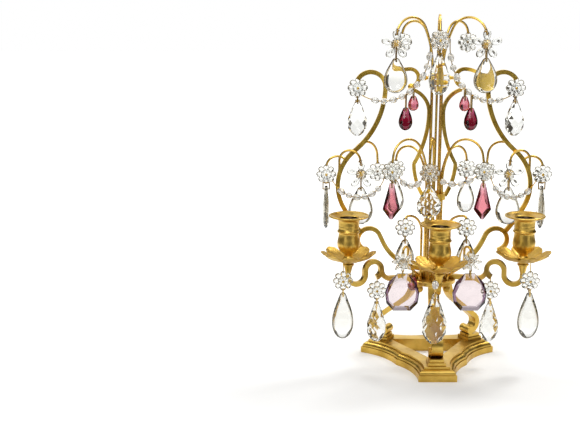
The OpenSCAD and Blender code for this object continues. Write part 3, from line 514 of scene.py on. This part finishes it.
def to_piece(bm, name, slot, body, nodes=(), smooth=True, finish=None):
    """Makes an object of a bmesh, gives it its finish (its slot's own unless another is named) and body, and
    hides the nodes it stands for."""
    for face in bm.faces:
        face.smooth = smooth
    piece = to_object(bm, name)
    piece.data.materials.append(finish_of(finish or slot))
    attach(piece, body)
    if nodes:
        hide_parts(*nodes)
    return piece


def outline(bm, points):
    """A row of vertices joined by edges, in the XZ plane."""
    row = [bm.verts.new((x, 0, z)) for x, z in points]
    return row + [bm.edges.new(pair) for pair in zip(row, row[1:])]


def turned(bm, points, steps):
    """Turns an outline once round Z into a closed shell."""
    bmesh.ops.spin(bm, geom=outline(bm, points), cent=(0, 0, 0), axis=(0, 0, 1), angle=2 * math.pi,
                   steps=steps, use_merge=True)
    bmesh.ops.remove_doubles(bm, verts=bm.verts, dist=TURN_WELD)
    bmesh.ops.recalc_face_normals(bm, faces=bm.faces)


def put(bm, verts, at, *turns):
    """Turns vertices about the origin, by each angle and axis in order, and moves them to their place."""
    for angle, axis in turns:
        bmesh.ops.rotate(bm, verts=verts, cent=(0, 0, 0), matrix=Matrix.Rotation(angle, 3, axis))
    bmesh.ops.translate(bm, verts=verts, vec=at)


def middle(box):
    return (box[0] + box[1]) / 2


def parts_of(name):
    """Lowest and highest corner of each separate solid in a CAD node."""
    bm = bmesh.new()
    bm.from_mesh(frame["nodes"][name].data)
    bmesh.ops.remove_doubles(bm, verts=bm.verts, dist=WELD)
    boxes, left = [], set(bm.verts)
    while left:
        found = [left.pop()]
        for vert in found:
            near = [edge.other_vert(vert) for edge in vert.link_edges if edge.other_vert(vert) in left]
            left.difference_update(near)
            found.extend(near)
        corners = list(zip(*(vert.co for vert in found)))
        boxes.append((Vector(map(min, corners)), Vector(map(max, corners))))
    bm.free()
    return sorted(boxes, key=lambda box: tuple(round(c, 5) for c in box[0]))


def arc(centre, radius, start, end, count):
    """Points of an arc in the XZ plane, angles in degrees."""
    angles = [math.radians(start + (end - start) * i / count) for i in range(count + 1)]
    return [(centre[0] + radius * math.cos(a), centre[1] + radius * math.sin(a)) for a in angles]


def smoothed(points, rounds=2):
    """Cuts the corners of an open outline, with its ends kept."""
    for _ in range(rounds):
        cut = [points[0]]
        for a, b in zip(points, points[1:]):
            cut += [tuple(0.75 * p + 0.25 * q for p, q in zip(a, b)),
                    tuple(0.25 * p + 0.75 * q for p, q in zip(a, b))]
        points = cut + [points[-1]]
    return points


def groove(radius, height, wide=0.9 * MM, deep=0.45 * MM):
    """A fine turned line round a wall: five points of its outline, upwards."""
    return [(radius, height - wide), (radius, height - wide / 2), (radius - deep, height),
            (radius, height + wide / 2), (radius, height + wide)]


# Pieces

class GIRANDOLE_OT_cast_pieces(bpy.types.Operator):
    """Gilds the cast base, legs, hub and arms, and the strips of the lyre"""
    bl_idname = "girandole.cast_pieces"
    bl_label = "Gild the cast pieces"

    def execute(self, context):
        for name in CAST_NODES:
            dress_node(name, "gilt_bronze")
        # The strips take the brighter copy of the gilding: painted light.
        for name in STRIP_NODES:
            dress_node(name, "strip_bronze_painted_light")
        return {"FINISHED"}


class GIRANDOLE_OT_wires(bpy.types.Operator):
    """Gives the rods, wires and hangers their drawn brass"""
    bl_idname = "girandole.wires"
    bl_label = "Finish the rods and wires"

    def execute(self, context):
        for name in WIRE_NODES:
            dress_node(name, "brass_wire", ROUND_CREASE)
        return {"FINISHED"}


def nozzle_outline(height, rim, floor):
    """The outline of a nozzle: foot, vase, ring, lined neck, round edge, dish and socket."""
    socket = shapes().socket_r
    foot = [(r * MM, z * MM) for r, z in NOZZLE_FOOT]
    vase = smoothed([(r * MM, share * height) for r, share in NOZZLE_VASE])
    ring = [(RING_FOOT[0] * MM, RING_FOOT[1] * height)]
    ring += arc((RING_MIDDLE[0] * MM, RING_MIDDLE[1] * height), RING_R, start=-80, end=80, count=6)
    lines = [point for share in NECK_LINES for point in groove(NECK_R, share * height)]
    neck = [(r * MM, share * height) for r, share in NOZZLE_NECK] + [(rim - LIP[0] * MM, LIP[1] * height)]
    edge = arc((rim - RIM_ROUND, height - RIM_ROUND), RIM_ROUND, start=-60, end=90, count=7)
    dish = [(rim - r * MM, height - z * MM) for r, z in DISH_OUTER]
    dish += [(DISH_MIDDLE[0] * MM, height - DISH_MIDDLE[1] * MM)]
    dish += [(socket + r * MM, height - z * MM) for r, z in DISH_INNER]
    bottom = [(socket, floor + SOCKET_ROUND), (socket - SOCKET_ROUND, floor), (0, floor)]
    return foot + vase + ring + lines + smoothed(neck) + edge + smoothed(dish) + bottom


def paint_socket_shade(nozzle, at, floor, top):
    """Paints the wall and floor of a socket near black: painted shade in the deep hole."""
    socket_shaded = nozzle.data.attributes.new(SOCKET_SHADE_ATTRIBUTE, "FLOAT", "POINT")
    for vert in nozzle.data.vertices:
        across = math.hypot(vert.co.x - at.x, vert.co.y - at.y)
        in_socket_shade = across < shapes().socket_r + SLACK and floor - SLACK < vert.co.z < top - SOCKET_SHADE_TOP
        socket_shaded.data[vert.index].value = float(in_socket_shade)


class GIRANDOLE_OT_nozzles(bpy.types.Operator):
    """Turns the three candle nozzles: foot, vase, ring, neck and dished rim round the socket"""
    bl_idname = "girandole.nozzles"
    bl_label = "Turn the nozzles"

    def execute(self, context):
        for name in NOZZLE_NODES:
            low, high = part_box(name)
            at, height = middle((low, high)), high.z - low.z
            floor = height - shapes().socket_depth
            bm = bmesh.new()
            turned(bm, nozzle_outline(height, (high.x - low.x) / 2, floor), NOZZLE_STEPS)
            put(bm, bm.verts, (at.x, at.y, low.z))
            nozzle = to_piece(bm, "turned_" + name, "gilt_bronze", FRAME_BODY, (name,))
            paint_socket_shade(nozzle, at, low.z + floor, high.z)
        return {"FINISHED"}


def petal_point(along, across, reach, rise):
    """A point of the first petal of a pan: along from 0 at the hole to 1 at the tip, across from -1 to 1."""
    turn = across * math.pi / shapes().petals
    lobe = LOBE * math.cos(turn) + math.sqrt((1 - LOBE) ** 2 - (LOBE * math.sin(turn)) ** 2)
    r = PAN_HOLE + (lobe * reach - PAN_HOLE) * along
    bowl = rise * (max(0, r - PAN_FLAT) / (reach - PAN_FLAT)) ** BOWL_POWER
    part = max(0, min(1, (r / reach - RELIEF_START) / RELIEF_FADE))
    crease = CREASE_DEPTH * math.exp(-((abs(across) - 1) / CREASE_WIDTH) ** 2)
    vein = VEIN_HEIGHT * math.exp(-(across / VEIN_WIDTH) ** 2)
    cup = CUP_DEPTH * (1 - CUP_LIFT * across ** 2)
    return r * math.cos(turn), r * math.sin(turn), max(0, bowl + part * (vein - crease - cup))


class GIRANDOLE_OT_pans(bpy.types.Operator):
    """Beats the three drip pans to a ring of ribbed petals"""
    bl_idname = "girandole.pans"
    bl_label = "Beat the drip pans"

    def execute(self, context):
        petals, wall = shapes().petals, shapes().pan_wall
        for name in PAN_NODES:
            low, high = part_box(name)
            at = middle((low, high))
            front = name == "front_pan"
            reach = (high.y - low.y) / 2 if front else SIDE_PAN_REACH
            bm = bmesh.new()
            bmesh.ops.create_grid(bm, x_segments=20, y_segments=14, size=1)
            for vert in bm.verts:
                vert.co = petal_point((vert.co.x + 1) / 2, vert.co.y, reach, high.z - low.z - wall)
            bmesh.ops.spin(bm, geom=bm.verts[:] + bm.edges[:] + bm.faces[:], cent=(0, 0, 0), axis=(0, 0, 1),
                           angle=2 * math.pi * (petals - 1) / petals, steps=petals - 1, use_duplicate=True)
            bmesh.ops.remove_doubles(bm, verts=bm.verts, dist=SEAM_WELD)
            bmesh.ops.recalc_face_normals(bm, faces=bm.faces)
            put(bm, bm.verts, (at.x, at.y, low.z), (QUARTER if front else 0.0, "Z"))
            # The pans take the darker copy of the gilding: painted shade.
            pan = to_piece(bm, "petal_" + name, "gilt_bronze", FRAME_BODY, (name,), finish="pan_bronze_painted_shade")
            skin = pan.modifiers.new("wall", "SOLIDIFY")
            skin.thickness, skin.offset = wall, 1.0
            soft = pan.modifiers.new("soft_edge", "BEVEL")
            soft.width, soft.segments, soft.limit_method = PAN_EDGE, 2, "ANGLE"
        return {"FINISHED"}


class GIRANDOLE_OT_rosettes(bpy.types.Operator):
    """Cuts the glass rosettes: a ring of petals with a smaller flower in front, on a brass pin"""
    bl_idname = "girandole.rosettes"
    bl_label = "Cut the rosettes"

    def execute(self, context):
        flowers, pins = bmesh.new(), bmesh.new()
        for low, high in parts_of("rosettes"):
            at = middle((low, high))
            whole = ROSETTE_FILL * (high.x - low.x) / 2
            # The tall tier stands on the side that the flower faces.
            facing = -1 if rosette_faces_front(low, high) else 1
            back_y = high.y if facing < 0 else low.y
            add_petal_disc(flowers, (at.x, back_y + facing * DISC_HALF, at.z), facing, whole, DISC_HALF, DISC_NOTCH)
            add_petal_disc(flowers, (at.x, back_y + facing * TIER_OUT, at.z), facing, TIER_SHARE * whole, TIER_HALF,
                           TIER_NOTCH, math.pi / ROSETTE_PETALS)
            made = bmesh.ops.create_uvsphere(pins, u_segments=16, v_segments=10, radius=PIN_R)["verts"]
            bmesh.ops.scale(pins, verts=made, vec=(1, PIN_FLAT, 1))
            put(pins, made, (at.x, back_y + facing * PIN_OUT, at.z))
        to_piece(flowers, "cut_rosettes", "flower_glass", FRAME_BODY, ("rosettes",))
        to_piece(pins, "rosette_pins", "brass_wire", FRAME_BODY)
        return {"FINISHED"}


def rosette_faces_front(low, high):
    """False for the rosettes on the back wires, which stand behind the stem and face the wall."""
    return middle((low, high)).y < middle(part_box("hub")).y + BACK_MARGIN


def add_petal_disc(bm, at, facing, reach, half_t, notch, turn=0.0):
    """A lens of glass cut to a ring of petals with a groove between each two, facing along Y."""
    made = bmesh.ops.create_uvsphere(bm, u_segments=ROSETTE_PETALS * 8, v_segments=10, radius=1)["verts"]
    for vert in made:
        around = math.atan2(vert.co.y, vert.co.x) + turn
        wave = abs(math.cos(ROSETTE_PETALS * around / 2))
        lobe = 1 - notch * (1 - math.sqrt(wave))
        flat = math.hypot(vert.co.x, vert.co.y)
        furrow = 1 - FURROW_DEPTH * (1 - wave) ** 2 * min(1, flat / FURROW_FULL)
        x, y, z = vert.co
        height = math.copysign(half_t * furrow * min(1, abs(z) * DISC_SLOPE), z) if abs(z) > TINY else 0
        vert.co = (x * reach * lobe, y * reach * lobe, height)
    put(bm, made, at, (-facing * QUARTER, "X"))


def add_leaf(bm, at, length, width, thick, start, turn, tilt, point):
    """An oval or pointed petal of glass with dished faces and a thick rim, from its start away from its flower."""
    made = bmesh.ops.create_uvsphere(bm, u_segments=28, v_segments=22, radius=1)["verts"]
    for vert in made:
        x, y, z = vert.co
        out = math.hypot(x, y)
        if out < LEAF_CREST:
            height = LEAF_DISH + (1 - LEAF_DISH) * (1 - math.cos(math.pi * out / LEAF_CREST)) / 2
        else:
            height = math.sqrt(max(0, 1 - ((out - LEAF_CREST) / (1 - LEAF_CREST)) ** 2))
        side = 0 if abs(z) < TINY else math.copysign(height * thick / 2, z)
        vert.co = (x * length / 2, y * width / 2 * (1 + LEAF_SWELL * x) * (1 - point * max(0, x) ** 2), side)
    put(bm, made, (start + length / 2, 0, 0))
    put(bm, made, at, (math.radians(-tilt), "Y"), (math.radians(turn), "Z"), (QUARTER, "X"))


def add_ribbed_dome(bm, at, radius, height):
    """A low dome with ribs from its top to its rim, facing along -Y."""
    made = bmesh.ops.create_uvsphere(bm, u_segments=DOME_RIBS * 6, v_segments=16, radius=1)["verts"]
    for vert in made:
        wave = math.cos(DOME_RIBS * math.atan2(vert.co.y, vert.co.x))
        flat = math.hypot(vert.co.x, vert.co.y)
        swelling = 1 + RIB * wave * min(1, 2 * flat)
        vert.co = (vert.co.x * radius * swelling, vert.co.y * radius * swelling, vert.co.z * height * swelling)
    put(bm, made, at, (QUARTER, "X"))


class GIRANDOLE_OT_star_flowers(bpy.types.Operator):
    """Cuts the star flowers: petals round a ribbed glass dome on a brass button"""
    bl_idname = "girandole.star_flowers"
    bl_label = "Cut the star flowers"

    def execute(self, context):
        leaves, domes, buttons = bmesh.new(), bmesh.new(), bmesh.new()
        for low, high in parts_of("star_flowers"):
            half = (high.x - low.x) / 2
            big = half > BIG_STAR
            # A big flower has one petal straight up and is widest 18 degrees above its middle.
            petals, broad, point = BIG_PETALS if big else SMALL_PETALS
            reach = half / math.cos(math.radians(18)) if big else (high.z - low.z) / 2
            heart_at = Vector(((low.x + high.x) / 2, high.y - STAR_BACK, high.z - reach))
            heart = HEART * reach
            start = LEAF_START * heart
            for i in range(petals):
                tilt = LEAF_TILT if big else LEAF_TILT + TILT_STEP * (i % 2)
                add_leaf(leaves, heart_at, length=reach - start, width=broad * reach, thick=LEAF_T, start=start,
                         turn=90 + 360 / petals * i, tilt=tilt, point=point)
            add_ribbed_dome(domes, heart_at + Vector((0, -DOME_OUT, 0)), heart, DOME_RISE * heart)
            made = bmesh.ops.create_cone(buttons, segments=32, cap_ends=True, radius1=BUTTON_BACK * heart,
                                         radius2=BUTTON_FRONT * heart, depth=BUTTON_T)["verts"]
            put(buttons, made, heart_at + Vector((0, BUTTON_IN, 0)), (QUARTER, "X"))
        to_piece(leaves, "cut_star_leaves", "flower_glass", FRAME_BODY, ("star_flowers",))
        to_piece(domes, "star_domes", "flower_glass", FRAME_BODY)
        to_piece(buttons, "star_buttons", "brass_wire", FRAME_BODY, smooth=False)
        return {"FINISHED"}


class GIRANDOLE_OT_beads(bpy.types.Operator):
    """Gives the oval beads of the swags their clouded glass"""
    bl_idname = "girandole.beads"
    bl_label = "Finish the beads"

    def execute(self, context):
        dress_node("swag_beads", "bead_glass", ROUND_CREASE)
        return {"FINISHED"}


def swell(neck, belly, t, hollow):
    """Half width of a pear at a share t of its length."""
    if t < WIDEST:
        slow = (1 - math.cos(math.pi * t / WIDEST)) / 2
        return neck + (belly - neck) * (hollow * slow + (1 - hollow) * math.sin(math.pi / 2 * t / WIDEST))
    return belly * math.sqrt(max(0, 1 - ((t - WIDEST) / (1 - WIDEST)) ** 2))


def hang_of(name):
    """The hole of a drop, and the turn of the drop round Z, from its joint."""
    for joint in frame["joints"]:
        if joint["child"] == name:
            axis = joint["axis"]
            return Vector(joint["pos_m"]), math.atan2(axis[0], -axis[1])
    raise RuntimeError("no joint carries " + name)


def pierced(piece, hole, turn, radius):
    """Cuts the hole of a drop, along the direction that it faces."""
    bm = bmesh.new()
    bmesh.ops.create_cone(bm, segments=24, radius1=radius, radius2=radius, depth=DRILL, cap_ends=True)
    put(bm, bm.verts, hole, (QUARTER, "X"), (turn, "Z"))
    drill = to_object(bm, "drill")
    bore = piece.modifiers.new("bore", "BOOLEAN")
    bore.object, bore.operation, bore.solver = drill, "DIFFERENCE", "EXACT"
    view = bpy.context.evaluated_depsgraph_get()
    cut = bpy.data.meshes.new_from_object(piece.evaluated_get(view))
    piece.modifiers.clear()
    old, piece.data = piece.data, cut
    cut.name = old.name
    bpy.data.meshes.remove(old)
    bpy.data.meshes.remove(drill.data)  # takes the drill with it


def pear_outline(width, length):
    """The outline of a pear from its round top, a crown above the hole, to its foot."""
    crown = shapes().crown
    sides = [TOP_SHARE + SIDE_SHARE * i / PEAR_ROWS for i in range(PEAR_ROWS)]
    points = [(0, crown)]
    for t in TOP_ROWS + sides + FOOT_ROWS:
        top = math.sqrt(max(0, 1 - (1 - min(1, t / TOP_SHARE)) ** 2))
        points.append((swell(NECK_W, width / 2, t, WIDTH_HOLLOW) * top, crown - t * length))
    return points + [(0, crown - length)]


def pear_drop(name, slot, flat):
    """A smooth pear of glass; a flat one has level faces and a ground rim."""
    low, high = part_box(name)
    hole, turn = hang_of(name)
    sideways = abs(math.sin(turn)) > 0.5
    length = high.z - low.z
    width, thick = (high.y - low.y, high.x - low.x) if sideways else (high.x - low.x, high.y - low.y)
    crown, rim = shapes().crown, shapes().rim
    bm = bmesh.new()
    turned(bm, pear_outline(width, length), PEAR_STEPS)
    # Painted shade: each point takes a share of the edge colour, full at the outline and the foot and fading inwards
    # over the rim's width.
    edge = bm.verts.layers.float.new(RIM_SHADE_ATTRIBUTE)
    for vert in bm.verts:
        t = (crown - vert.co.z) / length
        wide = swell(NECK_W, width / 2, t, WIDTH_HOLLOW)
        deep = swell(NECK_T, thick / 2, t, DEPTH_HOLLOW)
        inward = (wide - abs(vert.co.x)) / rim
        vert[edge] = RIM_PAINTED_SHADE * max(0, 1 - inward, 1 - (1 - t) * length / rim)
        if wide > HAIR:
            bulge = vert.co.y * deep / wide
            if flat:
                thin = EDGE_SHARE + (1 - EDGE_SHARE) * min(1, max(0, inward))
                level = math.copysign(deep * thin, vert.co.y) if abs(vert.co.y) > HAIR else 0
                share = min(1, max(0, (t - FACE_START) / FACE_FADE))
                bulge = (1 - share) * bulge + share * level
            vert.co.y = bulge
    bmesh.ops.recalc_face_normals(bm, faces=bm.faces)
    put(bm, bm.verts, hole, (turn, "Z"))
    piece = to_piece(bm, "glass_" + name, slot, name, (name,))
    pierced(piece, hole, turn, shapes().bore_r)


class GIRANDOLE_OT_smooth_drops(bpy.types.Operator):
    """Grinds the plain pear drops, clear, dark and pink"""
    bl_idname = "girandole.smooth_drops"
    bl_label = "Grind the smooth drops"

    def execute(self, context):
        for names, slot, flat in ((LENS_DROPS, "clear_glass", False), (FLAT_DROPS, "clear_glass", True),
                                  (DARK_DROPS, "dark_glass", False), (PINK_DROPS, "pink_glass", False)):
            for name in names:
                pear_drop(name, slot, flat)
        return {"FINISHED"}


class GIRANDOLE_OT_cut_drops(bpy.types.Operator):
    """Gives the faceted drops, kites and plates their glass"""
    bl_idname = "girandole.cut_drops"
    bl_label = "Finish the cut drops"

    def execute(self, context):
        for names, glass in ((CUT_DROPS, "clear_glass"), (KITE_DROPS, "purple_glass"), (PLATE_DROPS, "lilac_glass")):
            for name in names:
                dress_node(name, glass, FACETED)
        return {"FINISHED"}


# Stage

def area_light(name, at, aim, size, power):
    """A soft square light that looks at a point."""
    lamp = bpy.data.lights.new(name, "AREA")
    lamp.shape, lamp.size, lamp.energy = "SQUARE", size, power
    light = bpy.data.objects.new(name, lamp)
    light.location = at
    light.rotation_euler = (Vector(aim) - Vector(at)).to_track_quat("-Z", "Y").to_euler()
    bpy.context.scene.collection.objects.link(light)


def seen_rays(nodes, links):
    """1 for rays that the camera, a gloss or a glass sees, and 0 for rays that carry light."""
    path = nodes.new("ShaderNodeLightPath")
    total = path.outputs["Is Camera Ray"]
    for name in ("Is Glossy Ray", "Is Transmission Ray"):
        either = nodes.new("ShaderNodeMath")
        either.operation = "MAXIMUM"
        links.new(total, either.inputs[0])
        links.new(path.outputs[name], either.inputs[1])
        total = either.outputs["Value"]
    return total


class GIRANDOLE_OT_stage(bpy.types.Operator):
    """Sets up the pale floor, the white background, the dark cards, the lights and the camera"""
    bl_idname = "girandole.stage"
    bl_label = "Set up the stage"

    def execute(self, context):
        settings, scene = staging(), context.scene
        self.floor(settings)
        self.world(scene)
        self.cards()
        area_light("right_light", RIGHT_AT, SIDE_AIM, SIDE_LIGHT, settings.key_power)
        area_light("left_light", LEFT_AT, SIDE_AIM, SIDE_LIGHT, settings.left_share * settings.key_power)
        area_light("front_light", FRONT_AT, FRONT_AIM, FRONT_LIGHT, settings.fill_power)
        lens = bpy.data.cameras.new("photo_camera")
        lens.lens, lens.sensor_width = settings.lens, SENSOR
        camera = bpy.data.objects.new("photo_camera", lens)
        camera.location = settings.camera_at
        camera.rotation_euler = (QUARTER - settings.camera_tilt, 0, 0)
        scene.collection.objects.link(camera)
        scene.camera = camera
        scene.view_settings.view_transform = "Standard"
        return {"FINISHED"}

    def floor(self, settings):
        """The floor, with a glow that grows away from the object and that carries no light."""
        bm = bmesh.new()
        bmesh.ops.create_grid(bm, x_segments=1, y_segments=1, size=FLOOR_HALF)
        floor = to_object(bm, "floor")
        finish, nodes, links, shader = new_finish("floor_paint")
        nodes.remove(shader)
        paint = nodes.new("ShaderNodeBsdfDiffuse")
        darker = [FLOOR_SHADE * channel for channel in settings.floor]
        links.new(ramp(nodes, links, noise(nodes, links, FLOOR_WAVES, detail=2), darker, settings.floor),
                  paint.inputs["Color"])
        glow = nodes.new("ShaderNodeEmission")
        place = nodes.new("ShaderNodeTexCoord")
        away = nodes.new("ShaderNodeVectorMath")
        away.operation = "LENGTH"
        links.new(place.outputs["Object"], away.inputs[0])
        far = nodes.new("ShaderNodeMapRange")
        far.inputs["From Min"].default_value, far.inputs["From Max"].default_value = LIFT_FROM
        far.inputs["To Min"].default_value, far.inputs["To Max"].default_value = LIFT_TO
        links.new(away.outputs["Value"], far.inputs["Value"])
        lift = nodes.new("ShaderNodeMath")
        lift.operation = "MULTIPLY"
        links.new(far.outputs["Result"], lift.inputs[1])
        links.new(seen_rays(nodes, links), lift.inputs[0])
        links.new(lift.outputs["Value"], glow.inputs["Strength"])
        both = nodes.new("ShaderNodeAddShader")
        links.new(paint.outputs["BSDF"], both.inputs[0])
        links.new(glow.outputs["Emission"], both.inputs[1])
        output = next(node for node in nodes if node.type == "OUTPUT_MATERIAL")
        links.new(both.outputs["Shader"], output.inputs["Surface"])
        floor.data.materials.append(finish)

    def world(self, scene):
        """A background that looks white and lights the object less than it shows."""
        world = bpy.data.worlds.new("studio")
        world.use_nodes = True
        nodes, links = world.node_tree.nodes, world.node_tree.links
        back = nodes["Background"]
        back.inputs["Color"].default_value = (1, 1, 1, 1)
        level = nodes.new("ShaderNodeMapRange")
        level.inputs["To Min"].default_value = WORLD_LIGHT
        level.inputs["To Max"].default_value = 1.0
        links.new(seen_rays(nodes, links), level.inputs["Value"])
        links.new(level.outputs["Result"], back.inputs["Strength"])
        scene.world = world

    def cards(self):
        """Dark cards round the object; the camera and the light pass them by."""
        for name, heading, width, away, in_glass in SIDE_CARDS:
            for side, turn in (("right_", heading), ("left_", -heading)):
                self.card(side + name, (width, CARD_TALL), turn, away, in_glass)
        self.card("high_card", (1.2, 0.5), heading=0, away=0.8, height=1.1, tilt=45, in_glass=True)
        self.card("front_card", (2.2, CARD_TALL), heading=180, away=1.8, in_glass=False)
        self.card("front_floor_card", (1.6, 1.3), heading=180, away=1.05, height=0.004, tilt=0, in_glass=False)

    def card(self, name, size, heading, away, in_glass, height=CARD_HEIGHT, tilt=90):
        """One card, upright unless tilted, seen in gloss, and in glass too if so given."""
        finish, _, _, shader = new_finish(name + "_paint")
        shader.inputs["Base Color"].default_value = (*CARD_PAINT, 1)
        shader.inputs["Roughness"].default_value = 1.0
        bm = bmesh.new()
        bmesh.ops.create_grid(bm, x_segments=1, y_segments=1, size=0.5)
        bmesh.ops.scale(bm, verts=bm.verts, vec=(*size, 1))
        put(bm, bm.verts, (0, away, height), (math.radians(tilt), "X"))
        put(bm, bm.verts, (0, 0, 0), (math.radians(-heading), "Z"))
        card = to_object(bm, name)
        card.data.materials.append(finish)
        card.visible_camera = card.visible_diffuse = card.visible_shadow = False
        card.visible_transmission = in_glass


class GIRANDOLE_PT_panel(bpy.types.Panel):
    """Lists the making steps in order"""
    bl_idname = "GIRANDOLE_PT_panel"
    bl_label = "Girandole"
    bl_space_type = "VIEW_3D"
    bl_region_type = "UI"
    bl_category = "Girandole"

    def draw(self, context):
        for step in STEPS:
            self.layout.operator(step.bl_idname)
        for group in (finishes(), shapes(), staging()):
            column = self.layout.column()
            for key in group.__annotations__:
                column.prop(group, key)


STEPS = (
    GIRANDOLE_OT_stage,
    GIRANDOLE_OT_cast_pieces,
    GIRANDOLE_OT_wires,
    GIRANDOLE_OT_nozzles,
    GIRANDOLE_OT_pans,
    GIRANDOLE_OT_rosettes,
    GIRANDOLE_OT_star_flowers,
    GIRANDOLE_OT_beads,
    GIRANDOLE_OT_smooth_drops,
    GIRANDOLE_OT_cut_drops,
)
GROUPS = {
    "girandole_finishes": FinishSettings,
    "girandole_shapes": ShapeSettings,
    "girandole_stage": StageSettings,
}


def register():
    for group in GROUPS.values():
        bpy.utils.register_class(group)
    for key, group in GROUPS.items():
        setattr(bpy.types.Scene, key, bpy.props.PointerProperty(type=group))
    for step in (*STEPS, GIRANDOLE_PT_panel):
        bpy.utils.register_class(step)


def unregister():
    for step in reversed((*STEPS, GIRANDOLE_PT_panel)):
        bpy.utils.unregister_class(step)
    for key, group in GROUPS.items():
        delattr(bpy.types.Scene, key)
        bpy.utils.unregister_class(group)


def main():
    """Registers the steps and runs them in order."""
    register()
    bpy.ops.girandole.stage()
    bpy.ops.girandole.cast_pieces()
    bpy.ops.girandole.wires()
    bpy.ops.girandole.nozzles()
    bpy.ops.girandole.pans()
    bpy.ops.girandole.rosettes()
    bpy.ops.girandole.star_flowers()
    bpy.ops.girandole.beads()
    bpy.ops.girandole.smooth_drops()
    bpy.ops.girandole.cut_drops()


if __name__ == "__main__":
    main()
